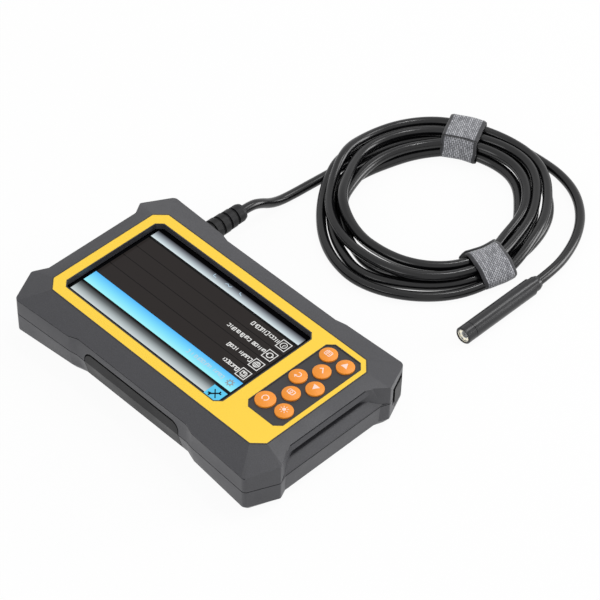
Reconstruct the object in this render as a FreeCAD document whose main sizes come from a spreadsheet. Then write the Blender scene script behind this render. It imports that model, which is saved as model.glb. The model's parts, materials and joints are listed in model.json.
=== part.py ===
"""Handheld inspection camera: a rugged case with a screen and eight keys, and a camera head on a cable.

Frame: X runs along the case towards the keys, Y towards the side that the cable leaves, Z up out of the
screen. The origin is under the middle of the case, on the surface that it lies on. Millimetres.
"""
import FreeCAD, Part
import math
import os
import re

import Sketcher

DOCUMENT = FreeCAD.newDocument("inspection_camera")

# ---------------------------------------------------------------- driving dimensions

SIZES = {
    # window and keypad on the front face, from the -X end to the +X end
    "window_margin": 5.1, "window_length": 94.7, "window_width": 55.2, "window_side": 5.4,
    "window_cut": 2.7, "panel_gap": 6.6, "panel_length": 19.5, "panel_width": 49.3, "panel_margin": 2.7,
    "panel_top_margin": 3.2, "panel_cut": 2.7, "overlay_cut": 4.9, "overlay_thickness": 0.5,
    "overlay_gap": 0.15,
    # case outline: corner bumps, waists between them and how far the walls lean in
    "shoulder_x": 11.1, "shoulder_y": 12.2, "corner_cut_x": 6.4, "corner_cut_y": 14.2, "corner_round": 1.6,
    "edge_round": 0.6,
    "bump_end": 37.5, "bump_ramp": 4.5, "bump_flare": 1.5, "side_waist": 2.2, "end_waist": 1.6,
    "end_ramp": 4.0, "foot_corner": 2.0, "foot_end": 2.3, "foot_bump": 3.2, "foot_side": 4.3,
    "toe_height": 2.6, "toe_corner": 0.1, "toe_end": 0.4, "toe_bump": 1.3, "toe_side": 2.4,
    "crown_end": 2.8, "crown_side": 1.1, "case_height": 24.0, "split_height": 11.6, "seam": 0.4,
    "wall": 2.4, "top_wall": 3.0, "floor_wall": 2.2, "side_slope": 0.317, "end_slope": 0.223,
    "corner_slope": 0.27, "shadow_line": 0.45, "shadow_line_depth": 0.45, "shadow_line_drop": 0.2,
    # grip recess in the +X end, under the lip of the front face
    "lip_reach": 5.9, "lip_drop": 2.8, "lip_lean": 1.0, "cove_depth": 3.0, "cove_drop": 4.5,
    "end_wall": 2.0, "shelf_reach": 0.4, "shelf_drop": 4.1, "shelf_round": 0.8, "grip_ramp": 9.8,
    # display stack
    "display_border": 4.2, "display_clip": 4.0, "gasket_thickness": 0.4, "gasket_width": 2.6,
    "glass_thickness": 1.4, "tray_thickness": 2.0, "board_thickness": 1.6, "board_rise": 2.4,
    "pad_width": 10.0, "pad_inset": 24.0, "pad_margin": 4.0, "fit_gap": 0.3,
    # keys
    "key_radius": 3.9, "power_key_radius": 4.4, "key_column_step": 4.85, "key_row_step": 8.7,
    "key_row_shift": 1.1, "power_key_shift": 1.0, "key_clearance": 0.08, "key_flange": 0.45,
    "key_flange_thickness": 1.2, "key_rise": 0.5, "key_dome": 0.8, "key_travel": 0.8,
    "key_pill_radius": 2.4, "panel_flange": 1.2, "panel_flange_thickness": 1.0, "panel_sink": 0.2,
    "key_stack": 5.4, "mat_thickness": 1.2, "collar_wall": 0.6,
    # side port cover and corner port cover
    "cover_half_length": 28.2, "cover_bottom": 3.0, "cover_top": 16.5, "cover_depth": 1.6,
    "cover_round": 4.0, "cover_gap": 0.3, "cover_rest": 0.15, "cover_finger_gap": 0.9, "cover_land": 2.6,
    "cover_lip": 1.2, "cover_lip_wall": 1.0, "plug_start": 2.1, "plug_length": 7.6, "plug_bottom": 4.6,
    "plug_top": 14.4, "plug_land": 1.5, "plug_finger_gap": 2.8, "plug_nail_gap": 2.6, "plug_nail_low": 7.3,
    # cable, strain relief and clamp
    "cable_diameter": 4.5, "cable_x": -49.0, "relief_radius": 5.0, "relief_tip_radius": 4.0,
    "relief_length": 22.0, "relief_neck_radius": 3.6, "relief_grip": 1.8, "relief_stand": 0.35,
    "relief_flange_radius": 5.4, "relief_flange_thickness": 2.0, "rib_gap": 1.4, "rib_depth": 0.9,
    "clamp_length": 18.0, "clamp_width": 4.0, "clamp_roof": 1.6, "clamp_screw_reach": 6.2,
    # battery
    "battery_x": -9.0, "battery_length": 60.0, "battery_width": 48.0, "battery_thickness": 7.2,
    "battery_pad_thickness": 0.8,
    # case screws and board screws
    "screw_radius": 1.5, "screw_head_radius": 2.7, "screw_head_height": 2.0, "screw_length": 12.0,
    "post_radius": 3.6, "post_inset_x": 9.4, "post_inset_y": 9.8, "grip_post_inset": 3.2,
    "grip_post_y": 26.5, "counterbore_depth": 3.4, "board_screw_radius": 1.0,
    "board_screw_head_radius": 1.9, "board_screw_length": 5.0, "board_post_radius": 2.7,
    # coiled cable and its straps
    "coil_x": 2.3, "coil_y": 135.6, "coil_inner_radius": 34.8, "coil_outer_radius": 56.6, "coil_layers": 2,
    "strap_width": 16.5, "strap_thickness": 1.2, "strap_gap": 0.25, "strap_squeeze": 1.2,
    # camera head
    "head_x": 64.8, "head_rear_y": 133.7, "head_length": 47.3, "head_radius": 4.0, "head_bore": 3.2,
    "front_ring_length": 5.0, "front_rim": 0.9, "collar_length": 4.8, "collar_radius": 3.4,
    "spigot_length": 1.2, "led_ring_inner": 1.7, "led_ring_thickness": 0.6, "led_side": 0.9,
    "led_height": 0.4, "lens_radius": 1.5, "lens_length": 4.2, "sensor_side": 4.0, "sensor_thickness": 1.2,
    "lens_window_thickness": 0.7,
}

# ---------------------------------------------------------------- places worked out from them

PLACES = {
    "overlay_x": "(window_margin + window_length + panel_gap + panel_length + panel_margin) / 2",
    "overlay_y": "window_width / 2 + window_side",
    "half_x": "overlay_x + shoulder_x",
    "half_y": "overlay_y + shoulder_y",
    "face_length": "sqrt(corner_cut_x ^ 2 + corner_cut_y ^ 2)",
    "ramp_length": "sqrt(end_waist ^ 2 + end_ramp ^ 2)",
    "window_left": "window_margin - overlay_x",
    "window_right": "window_left + window_length",
    "panel_left": "window_right + panel_gap",
    "panel_right": "panel_left + panel_length",
    "panel_high": "overlay_y - panel_top_margin",
    "panel_low": "panel_high - panel_width",
    "plate_under": "case_height - top_wall",
    "display_top": "plate_under - gasket_thickness",
    "tray_top": "display_top - glass_thickness",
    "tray_under": "tray_top - tray_thickness",
    "display_left": "window_left - display_border",
    "display_right": "window_right + display_border",
    "display_high": "window_width / 2 + display_border + 0.8",
    "board_top": "split_height + board_rise",
    "board_under": "board_top - board_thickness",
    "board_post_y": "display_high + fit_gap + board_post_radius + 0.5",
    "board_edge_y": "board_post_y + board_post_radius - 0.4",
    "rim_low": "split_height - seam / 2",
    "rim_high": "split_height + seam / 2",
    "key_x": "(panel_left + panel_right) / 2 - 0.15",
    "key_y": "(panel_low + panel_high) / 2 + key_row_shift",
    "panel_under": "plate_under - panel_flange_thickness",
    "key_flange_under": "panel_under - key_flange_thickness",
    "key_board_top": "plate_under - key_stack",
    "collar_top": "key_flange_under - key_travel - 0.1",
    "pill_under": "key_board_top + key_travel + 0.1",
    "post_x": "half_x - post_inset_x",
    "post_y": "half_y - post_inset_y",
    "cable_radius": "cable_diameter / 2",
    "flare_slope": "bump_flare / (half_x - corner_cut_x - bump_end)",
    "relief_y": "half_y - bump_flare + (0 - cable_x - bump_end) * flare_slope",
    "relief_end_y": "relief_y + relief_length",
    "coil_height": "cable_diameter * coil_layers",
    "coil_middle": "(coil_inner_radius + coil_outer_radius) / 2",
    "lip_x": "overlay_x + lip_reach",
    "lip_top": "case_height - end_slope * lip_reach",
    "lip_low": "lip_top - lip_drop",
    "grip_slope": "(half_x - lip_x) / grip_ramp",
    "corner_x": "half_x - corner_cut_x",
    "face_x": "corner_cut_x / face_length",
    "face_y": "corner_cut_y / face_length",
    "cover_edge": "cover_half_length + cover_gap",
    "seat_edge": "cover_half_length - cover_land",
    "seat_low": "cover_bottom + cover_land",
    "seat_high": "cover_top - cover_land",
    "plug_end": "plug_start + plug_length",
    "key_board_left": "display_right + 0.8",
    "key_board_right": "panel_right + 1.4",
    "key_post_low": "panel_low - panel_flange - board_post_radius - 0.4",
    "key_post_high": "panel_high + panel_flange + board_post_radius + 0.4",
    "key_board_low": "key_post_low - board_post_radius - 0.4",
    "key_board_high": "key_post_high + board_post_radius + 0.4",
    "board_left": "display_left + 3.0",
    "board_right": "display_right - 2.6",
    "notch_x": "cable_x + clamp_length / 2 + 2",
    "battery_floor": "floor_wall + battery_pad_thickness",
    "battery_top": "battery_floor + battery_thickness",
    "flange_y": "relief_y - wall - relief_grip - relief_flange_thickness",
    "clamp_y": "flange_y - 0.5 - clamp_width",
    "inner_cable_y": "clamp_y - 6",
    "notch_y": "inner_cable_y - 6.5",
    "head_tip_y": "head_rear_y - head_length",
    "ring_rear_y": "head_tip_y + front_ring_length",
    "collar_y": "head_rear_y - collar_length",
    "window_front_y": "head_tip_y + 0.5",
    "led_board_y": "window_front_y + lens_window_thickness + led_height + 0.1",
    "spigot_radius": "head_bore - 0.02",
    "spigot_bore": "head_bore - 0.25",
    "led_seat_y": "led_board_y + led_ring_thickness + 0.1",
}

SHEET = DOCUMENT.addObject("Spreadsheet::Sheet", "Sizes")
for row, (alias, number) in enumerate(SIZES.items(), start=1):
    SHEET.set(f"A{row}", alias)
    SHEET.set(f"B{row}", str(number))
    SHEET.setAlias(f"B{row}", alias)

WORD = re.compile(r"[a-z][a-z_]+")


def link(text):
    """An expression with each size's and place's name turned into a reference to its sheet."""
    def refer(found):
        word = found.group()
        return f"Sizes.{word}" if word in SIZES else f"Places.{word}" if word in PLACES else word
    return WORD.sub(refer, str(text))


PLACE_SHEET = DOCUMENT.addObject("Spreadsheet::Sheet", "Places")
for row, (alias, formula) in enumerate(PLACES.items(), start=1):
    PLACE_SHEET.set(f"A{row}", alias)
    PLACE_SHEET.set(f"B{row}", "=" + link(formula).replace("Places.", ""))
    PLACE_SHEET.setAlias(f"B{row}", alias)
DOCUMENT.recompute()


def number(text):
    """The value of an expression now."""
    return float(SHEET.evalExpression(link(text)))


# ---------------------------------------------------------------- sketches and features

NODES = []


def keep(feature, label):
    """Marks a feature as one of the object's pieces; its label names its file."""
    feature.Label = label
    NODES.append(feature)
    return feature


def bind(feature, **expressions):
    """Binds properties to expressions; a double underscore in a name stands for a dot."""
    for name, expression in expressions.items():
        feature.setExpression(name.replace("__", "."), link(expression))
    return feature


def fix_point(sketch, edge, end, x, y):
    """Holds one end of an edge at a place given by two expressions."""
    for kind, text in (("DistanceX", x), ("DistanceY", y)):
        held = sketch.addConstraint(Sketcher.Constraint(kind, -1, 1, edge, end, number(text)))
        sketch.setExpression(f"Constraints[{held}]", link(text))


def arc_between(start, end, radius):
    """The shorter arc from start to end: a positive radius turns left, a negative one right."""
    middle, chord = (start + end) / 2, end - start
    rise = math.sqrt(max(radius ** 2 - (chord.Length / 2) ** 2, 0.0))
    left = FreeCAD.Vector(-chord.y, chord.x, 0).normalize()
    side = 1 if radius > 0 else -1
    centre = middle + left * rise * side
    first, last = (start, end) if radius > 0 else (end, start)
    angles = [math.atan2(p.y - centre.y, p.x - centre.x) for p in (first, last)]
    circle = Part.Circle(centre, FreeCAD.Vector(0, 0, 1), abs(radius))
    return Part.ArcOfCircle(circle, angles[0], angles[1])


def draw_outline(sketch, points):
    """A closed outline: each point is (x, y), or (x, y, radius) where an arc leads to it."""
    places = [FreeCAD.Vector(number(p[0]), number(p[1]), 0) for p in points]
    edges, starts = [], []
    for i, point in enumerate(points):
        start, end = places[i - 1], places[i]
        radius = number(point[2]) if len(point) > 2 else 0
        if radius:
            edges.append(sketch.addGeometry(arc_between(start, end, radius)))
            starts.append((1, 2) if radius > 0 else (2, 1))
            held = sketch.addConstraint(Sketcher.Constraint("Radius", edges[-1], abs(radius)))
            sketch.setExpression(f"Constraints[{held}]", link(f"abs({point[2]})"))
        else:
            edges.append(sketch.addGeometry(Part.LineSegment(start, end)))
            starts.append((1, 2))
    for i, edge in enumerate(edges):
        follower = (i + 1) % len(edges)
        joint = (edge, starts[i][1], edges[follower], starts[follower][0])
        sketch.addConstraint(Sketcher.Constraint("Coincident", *joint))
        fix_point(sketch, edge, starts[i][1], points[i][0], points[i][1])


def draw_circle(sketch, x, y, radius):
    """A circle held by its centre and radius."""
    circle = Part.Circle(FreeCAD.Vector(number(x), number(y), 0), FreeCAD.Vector(0, 0, 1), number(radius))
    edge = sketch.addGeometry(circle)
    held = sketch.addConstraint(Sketcher.Constraint("Radius", edge, number(radius)))
    sketch.setExpression(f"Constraints[{held}]", link(radius))
    fix_point(sketch, edge, 3, x, y)


def draw(sketch, outlines, circles=()):
    """Draws every outline and circle of a profile."""
    for points in outlines:
        draw_outline(sketch, points)
    for circle in circles:
        draw_circle(sketch, *circle)
    return sketch


def level_sketch(name, points, height):
    """A loose sketch that lies flat at a height, for lofts."""
    sketch = DOCUMENT.addObject("Sketcher::SketchObject", name)
    draw(sketch, [points])
    return bind(sketch, Placement__Base__z=height)


def body_sketch(body, name, plane, outlines, circles=(), height="0"):
    """A sketch on one of its body's own origin planes, moved along the plane's normal."""
    sketch = body.newObject("Sketcher::SketchObject", name)
    support = next(item for item in body.Origin.OriginFeatures if item.Role == plane)
    sketch.AttachmentSupport = (support, [""])
    sketch.MapMode = "FlatFace"
    bind(sketch, AttachmentOffset__Base__z=height)
    return draw(sketch, outlines, circles)


def new_body(name, x="0", y="0", z="0", rotation=None):
    """A body placed by expressions, turned first where a rotation is given."""
    body = DOCUMENT.addObject("PartDesign::Body", name)
    if rotation is not None:
        body.Placement = FreeCAD.Placement(FreeCAD.Vector(), rotation)
    return bind(body, Placement__Base__x=x, Placement__Base__y=y, Placement__Base__z=z)


def add_pad(body, name, outlines, low, high, circles=()):
    """Pads a profile in a body between two heights."""
    sketch = body_sketch(body, name + "_profile", "XY_Plane", outlines, circles, low)
    pad = body.newObject("PartDesign::Pad", name + "_pad")
    pad.Profile = sketch
    bind(pad, Length=f"{high} - ({low})")
    body.Tip = pad
    return pad


def plate(name, outlines, low, high, circles=()):
    """A flat piece with an outline, holes and two heights."""
    body = new_body(name)
    add_pad(body, name, outlines, low, high, circles)
    return body


def turned(name, profile, x="0", y="0", z="0", rotation=None, angle="360"):
    """A piece of revolution: its profile is (radius, height) about its own upright axis."""
    body = new_body(name, x, y, z, rotation)
    sketch = body_sketch(body, name + "_profile", "XZ_Plane", [profile])
    turn = body.newObject("PartDesign::Revolution", name + "_turn")
    turn.Profile = sketch
    turn.ReferenceAxis = (sketch, ["V_Axis"])
    bind(turn, Angle=angle)
    body.Tip = turn
    return body


def block(name, x, y, z):
    """A box between two places on each axis."""
    box = DOCUMENT.addObject("Part::Box", name)
    bind(box, Length=f"{x[1]} - ({x[0]})", Width=f"{y[1]} - ({y[0]})", Height=f"{z[1]} - ({z[0]})")
    return bind(box, Placement__Base__x=x[0], Placement__Base__y=y[0], Placement__Base__z=z[0])


def rod(name, x, y, z, radius, rotation=None, length=None):
    """A cylinder: upright between two heights, or of a length along its turned axis."""
    cylinder = DOCUMENT.addObject("Part::Cylinder", name)
    if rotation is not None:
        cylinder.Placement = FreeCAD.Placement(FreeCAD.Vector(), rotation)
    low, reach = (z, length) if length else (z[0], f"{z[1]} - ({z[0]})")
    bind(cylinder, Radius=radius, Height=reach)
    return bind(cylinder, Placement__Base__x=x, Placement__Base__y=y, Placement__Base__z=low)


def loft(name, sections):
    """A ruled solid through sketches."""
    solid = DOCUMENT.addObject("Part::Loft", name)
    solid.Sections, solid.Solid, solid.Ruled = sections, True, True
    return solid


def extrude(name, outline, plane, start, length):
    """A prism from an outline, along Y for the plane XZ and along Z for the plane XY."""
    sketch = DOCUMENT.addObject("Sketcher::SketchObject", name + "_outline")
    draw(sketch, [outline])
    if plane == "XZ":
        sketch.Placement = FreeCAD.Placement(FreeCAD.Vector(), FreeCAD.Rotation(FreeCAD.Vector(1, 0, 0), 90))
        bind(sketch, Placement__Base__y=start)
    else:
        bind(sketch, Placement__Base__z=start)
    prism = DOCUMENT.addObject("Part::Extrusion", name)
    prism.Base, prism.Solid = sketch, True
    prism.DirMode = "Custom"
    prism.Dir = FreeCAD.Vector(0, 1, 0) if plane == "XZ" else FreeCAD.Vector(0, 0, 1)
    return bind(prism, LengthFwd=length)


def fuse(name, parts):
    """One solid from several."""
    if len(parts) == 1:
        return parts[0]
    whole = DOCUMENT.addObject("Part::MultiFuse", name)
    whole.Shapes = parts
    return whole


def cut(name, base, tools):
    """A base with tools cut away."""
    result = DOCUMENT.addObject("Part::Cut", name)
    result.Base, result.Tool = base, fuse(name + "_tools", tools)
    return result


def common(name, first, second):
    """What two solids share."""
    result = DOCUMENT.addObject("Part::Common", name)
    result.Base, result.Tool = first, second
    return result


def group(name, parts):
    """Several separate solids that make one node."""
    together = DOCUMENT.addObject("Part::Compound", name)
    together.Links = parts
    return together


TO_PLUS_Y = FreeCAD.Rotation(FreeCAD.Vector(1, 0, 0), -90)


def rounded(x, y, radius):
    """A rectangle with round corners, as an outline."""
    (left, right), (low, high), r = x, y, radius
    return [
        (f"{left} + {r}", low), (f"{right} - {r}", low), (right, f"{low} + {r}", r), (right, f"{high} - {r}"),
        (f"{right} - {r}", high, r), (f"{left} + {r}", high), (left, f"{high} - {r}", r),
        (left, f"{low} + {r}"), (f"{left} + {r}", low, r),
    ][1:]


def octagon(x, y, clip):
    """A rectangle with its corners cut at 45 degrees, as an outline."""
    (left, right), (low, high) = x, y
    return [
        (f"{right} - {clip}", low), (right, f"{low} + {clip}"), (right, f"{high} - {clip}"),
        (f"{right} - {clip}", high), (f"{left} + {clip}", high), (left, f"{high} - {clip}"),
        (left, f"{low} + {clip}"), (f"{left} + {clip}", low),
    ]


# ---------------------------------------------------------------- the case's outer forms

LEVELS = {  # how far each part of the outline stands in from its place at the seam
    "foot": {"corner": "foot_corner", "end": "foot_end", "bump": "foot_bump", "side": "foot_side"},
    "toe": {"corner": "toe_corner", "end": "toe_end", "bump": "toe_bump", "side": "toe_side"},
    "split": {"corner": "0", "end": "0", "bump": "0", "side": "0"},
    "crown": {"corner": "0", "end": "crown_end", "bump": "0", "side": "crown_side"},
}


def case_outline(level, inset="0"):
    """The case in plan at a level: a rectangle with cut corners, each with a bump that ends in a ramp."""
    lean = LEVELS[level]
    wide, tall = f"(half_x - {lean['corner']} - {inset})", f"(half_y - {lean['corner']} - {inset})"
    high = f"(half_y - corner_cut_y - 0.5 * ({lean['corner']} + {inset}))"
    near = f"(half_x - corner_cut_x - 0.5 * {lean['corner']} - {inset})"
    quarter = [  # a tag is shared by the two ends of a round corner
        (f"half_x - end_waist - {lean['end']} - {inset}",
         f"half_y - corner_cut_y - end_ramp - {lean['end']} - {inset}", None),
        (f"{wide} - edge_round * end_waist / ramp_length",
         f"{high} - edge_round * end_ramp / ramp_length", "end"),
        (f"{wide} - edge_round * face_x", f"{high} + edge_round * face_y", "end"),
        (f"{near} + corner_round * face_x", f"{tall} - corner_round * face_y", "side"),
        (f"{near} - corner_round", f"{tall} - corner_round * flare_slope", "side"),
        (f"bump_end - 0.2 * {lean['side']}", f"half_y - bump_flare - {lean['bump']} - {inset}", None),
        (f"bump_end - bump_ramp - 0.6 * {lean['side']}",
         f"half_y - side_waist - {lean['side']} - {inset}", None),
    ]
    bends = {"end": "2.3 * edge_round", "side": "1.45 * corner_round"}
    spots = list(quarter)
    spots += [(f"0 - ({x})", y, tag) for x, y, tag in reversed(quarter)]
    spots += [(f"0 - ({x})", f"0 - ({y})", tag) for x, y, tag in quarter]
    spots += [(x, f"0 - ({y})", tag) for x, y, tag in reversed(quarter)]
    points = []
    for before, (x, y, tag) in zip([spots[-1]] + spots, spots):
        points.append((x, y, bends[tag]) if tag and tag == before[2] else (x, y))
    return points


def case_form(name, inset="0"):
    """The whole case as a solid form, its walls set in by an inset."""
    heights = {"foot": "0", "toe": "toe_height", "split": "split_height", "crown": "case_height"}
    return loft(name, [
        level_sketch(f"{name}_{level}", case_outline(level, inset), height)
        for level, height in heights.items()
    ])


def slope_cut(name, azimuth, distance, slope, top):
    """All that lies above a plane that falls away outwards from a level line off the middle."""
    sketch = DOCUMENT.addObject("Sketcher::SketchObject", name + "_outline")
    draw(sketch, [[(distance, top), (FAR, f"{top} - ({FAR} - {distance}) * {slope}"), (FAR, f"{top} + 9"),
                   (distance, f"{top} + 9")]])
    spin = FreeCAD.Rotation(FreeCAD.Vector(0, 0, 1), azimuth)
    upright = FreeCAD.Rotation(FreeCAD.Vector(1, 0, 0), 90)
    sketch.Placement = FreeCAD.Placement(FreeCAD.Vector(), spin * upright)
    wedge = DOCUMENT.addObject("Part::Extrusion", name)
    wedge.Base, wedge.Solid, wedge.DirMode, wedge.Symmetric = sketch, True, "Custom", True
    wedge.Dir = spin.multVec(FreeCAD.Vector(0, 1, 0))
    return bind(wedge, LengthFwd=f"2 * {FAR}")


def slopes(name, top):
    """The eight planes that fall away from the edges of the front face."""
    cuts = []
    for azimuth in range(0, 360, 45):
        distance, slope = {
            0: ("overlay_x", "end_slope"), 2: ("overlay_y", "side_slope"),
        }.get(azimuth // 45 % 4, ("(overlay_x + overlay_y - overlay_cut) / sqrt(2)", "corner_slope"))
        cuts.append(slope_cut(f"{name}_{azimuth}", azimuth, distance, slope, top))
    return cuts


FAR = "200"
SPAN_X, SPAN_Y = (f"0 - {FAR}", FAR), (f"0 - {FAR}", FAR)

case_outer = case_form("case_outer")
case_inner = case_form("case_inner", "wall")
cover_floor = case_form("cover_floor", "cover_depth")
cover_back = case_form("cover_back", "(cover_depth - cover_rest)")
lip_floor = case_form("lip_floor", "(cover_depth + cover_lip)")
DOCUMENT.recompute()


# ---------------------------------------------------------------- openings of the two shells and the seal

def beside_corner(name, along, depth, height):
    """A box on the cut corner towards +X and +Y: along the face, out of it and up."""
    box = DOCUMENT.addObject("Part::Box", name)
    box.Placement = FreeCAD.Placement(FreeCAD.Vector(), FreeCAD.Rotation(FreeCAD.Vector(0, 0, 1), -60))
    bind(box, Placement__Rotation__Angle="atan2(corner_cut_y; corner_cut_x)")
    box.Placement.Rotation.Axis = FreeCAD.Vector(0, 0, -1)
    bind(box, Length=f"{along[1]} - ({along[0]})", Width=f"{depth[1]} - ({depth[0]})",
         Height=f"{height[1]} - ({height[0]})")
    return bind(box, Placement__Base__x=f"corner_x + face_x * ({along[0]}) + face_y * ({depth[0]})",
                Placement__Base__y=f"half_y - face_y * ({along[0]}) + face_x * ({depth[0]})",
                Placement__Base__z=height[0])


def cover_prism(name, x, z, radius, y):
    """A panel seen along Y with round top corners."""
    (left, right), (low, high) = x, z
    outline = [(left, low), (right, low), (right, f"{high} - {radius}"),
               (f"{right} - {radius}", high, radius),
               (f"{left} + {radius}", high), (left, f"{high} - {radius}", radius)]
    return extrude(name, outline, "XZ", y[0], f"{y[1]} - ({y[0]})")


SIDE_REACH = ("0 - half_y - 2", "0 - half_y + 9")
recess_block = cover_prism("recess_block", ("0 - cover_edge", "cover_edge"),
                           ("cover_bottom - cover_gap", "cover_top + cover_finger_gap"),
                           "(cover_round + cover_gap)", SIDE_REACH)
cover_recess = cut("cover_recess", recess_block, [cover_floor])
cover_seat = block("cover_seat", ("0 - seat_edge", "seat_edge"), SIDE_REACH, ("seat_low", "seat_high + 0.7"))

plug_block = beside_corner("plug_block", ("plug_start - cover_gap", "plug_end + cover_gap"),
                           ("0 - 5", "3"), ("plug_bottom - cover_gap", "plug_top + cover_gap"))
nail_block = beside_corner("nail_block", ("plug_start - cover_gap", "plug_end + plug_finger_gap"),
                           ("0 - 5", "3"), ("plug_nail_low", "plug_top + plug_nail_gap"))
plug_recess = cut("plug_recess", fuse("plug_blocks", [plug_block, nail_block]), [cover_floor])
plug_seat = beside_corner("plug_seat", ("plug_start + plug_land - 0.4", "plug_end - 0.9"),
                          ("0 - 6", "3"), ("plug_bottom + plug_land - 0.3", "plug_top - plug_land + 0.3"))
cable_hole = rod("cable_hole", "cable_x", "half_y - 8", "split_height", "relief_neck_radius + 0.1", TO_PLUS_Y,
                 "12")
OPENINGS = [cover_recess, cover_seat, plug_recess, plug_seat, cable_hole]

# ---------------------------------------------------------------- upper shell

POSTS = [("0 - post_x", "post_y"), ("0 - post_x", "0 - post_y"),
         ("lip_x - grip_post_inset", "grip_post_y"), ("lip_x - grip_post_inset", "0 - grip_post_y")]
BOARD_POSTS = [("display_left + 13.4", "0 - board_post_y"), ("window_right - 10.5", "0 - board_post_y"),
               ("notch_x + 10", "board_post_y"), ("window_right - 10.5", "board_post_y")]
KEY_POSTS = [("key_x", "key_post_low"), ("key_x", "key_post_high")]


def shadow_lines():
    """A narrow groove in each long side, just under the edge of the front face."""
    above = cut("line_above", case_outer, slopes("line_top", "case_height - shadow_line_drop"))
    below = cut("line_below", case_outer, slopes("line_base", "case_height - shadow_line_drop - shadow_line"))
    band = cut("line_band", above, [below, case_form("line_core", "shadow_line_depth")])
    return common("line_grooves", band, block("line_span", ("0 - corner_x", "corner_x"), SPAN_Y,
                                              ("rim_high", "case_height")))


def upper_shell():
    """The front half of the case, with the display window, the keypad opening and the grip lip."""
    above_seam = block("above_seam", SPAN_X, SPAN_Y, ("rim_high", "case_height"))
    roofed = cut("upper_roofed", case_outer, slopes("roof", "case_height"))
    outside = common("upper_outside", roofed, above_seam)
    hollow_box = block("hollow_box", (f"0 - {FAR}", "lip_x - cove_depth - end_wall"), SPAN_Y,
                       ("rim_high - 1", "plate_under"))
    inside = common("upper_inside", case_inner, hollow_box)
    hollow = cut("upper_hollow", inside, slopes("ceiling", "plate_under"))
    walls = cut("upper_walls", outside, [hollow])
    posts = [rod(f"post_{i}", x, y, ("rim_high", "case_height"), "post_radius")
             for i, (x, y) in enumerate(POSTS)]
    posts += [rod(f"board_post_{i}", x, y, ("board_top", "case_height"), "board_post_radius")
              for i, (x, y) in enumerate(BOARD_POSTS)]
    posts += [rod(f"key_post_{i}", x, y, ("key_board_top", "case_height"), "board_post_radius")
              for i, (x, y) in enumerate(KEY_POSTS)]
    solid = fuse("upper_solid", [walls, common("upper_posts", fuse("upper_post_set", posts), outside)])
    grip_profile = [
        ("lip_x", "case_height + 1"), ("lip_x", "lip_top - shadow_line_drop"),
        ("lip_x - shadow_line_depth", "lip_top - shadow_line_drop"),
        ("lip_x - shadow_line_depth", "lip_top - shadow_line_drop - shadow_line"),
        ("lip_x + 0.2", "lip_top - shadow_line_drop - shadow_line"), ("lip_x + lip_lean", "lip_low"),
        ("lip_x - cove_depth", "lip_low - 0.2"), ("lip_x - cove_depth", "lip_low - cove_drop"),
        ("lip_x + shelf_reach - shelf_round", "lip_low - shelf_drop"),
        ("lip_x + shelf_reach + 0.68 * shelf_round", "lip_low - shelf_drop - 0.73 * shelf_round",
         "0 - 1.96 * shelf_round"),
        ("half_x - end_waist + 0.1", "rim_high + 0.4"),
        ("half_x + 2", "rim_high + 0.4"), ("half_x + 2", "case_height + 1"),
    ]
    grip_depth = extrude("grip_depth", grip_profile, "XZ", "0 - half_y", "2 * half_y")
    bump_y = "(half_y - corner_cut_y)"
    near, far = "(lip_x - cove_depth - 0.6)", "(half_x + 1)"
    grip_plan = [(near, f"0 - {bump_y} + (half_x - {near}) / grip_slope"),
                 (far, f"0 - {bump_y} + (half_x - {far}) / grip_slope"),
                 (far, f"{bump_y} - (half_x - {far}) / grip_slope"),
                 (near, f"{bump_y} - (half_x - {near}) / grip_slope")]
    grip_span = extrude("grip_span", grip_plan, "XY", "split_height", "case_height")
    overlay_seat = extrude("overlay_seat", octagon(
        ("0 - overlay_x - overlay_gap", "overlay_x + overlay_gap"),
        ("0 - overlay_y - overlay_gap", "overlay_y + overlay_gap"), "overlay_cut"),
        "XY", "case_height - overlay_thickness", "overlay_thickness + 2")
    window = extrude("window_opening", octagon(
        ("window_left", "window_right"), ("0 - window_width / 2", "window_width / 2"), "window_cut"),
        "XY", "plate_under - 1", "top_wall + 2")
    panel = extrude("panel_opening", octagon(
        ("panel_left", "panel_right"), ("panel_low", "panel_high"), "panel_cut"),
        "XY", "plate_under - 1", "top_wall + 2")
    holes = [rod(f"post_hole_{i}", x, y, ("split_height - 1", "counterbore_depth + screw_length + 1"),
                 "screw_radius") for i, (x, y) in enumerate(POSTS)]
    holes += [rod(f"board_hole_{i}", x, y, ("board_top - 1", "board_top + board_screw_length - 1.0"),
                  "board_screw_radius") for i, (x, y) in enumerate(BOARD_POSTS)]
    holes += [rod(f"key_hole_{i}", x, y, ("key_board_top - 1", "key_board_top + board_screw_length - 1.0"),
                  "board_screw_radius") for i, (x, y) in enumerate(KEY_POSTS)]
    grip = common("grip_recess", grip_depth, grip_span)
    return cut("upper_shell", solid, [grip, shadow_lines(), overlay_seat, window, panel] + holes + OPENINGS)


# ---------------------------------------------------------------- lower shell

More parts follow.
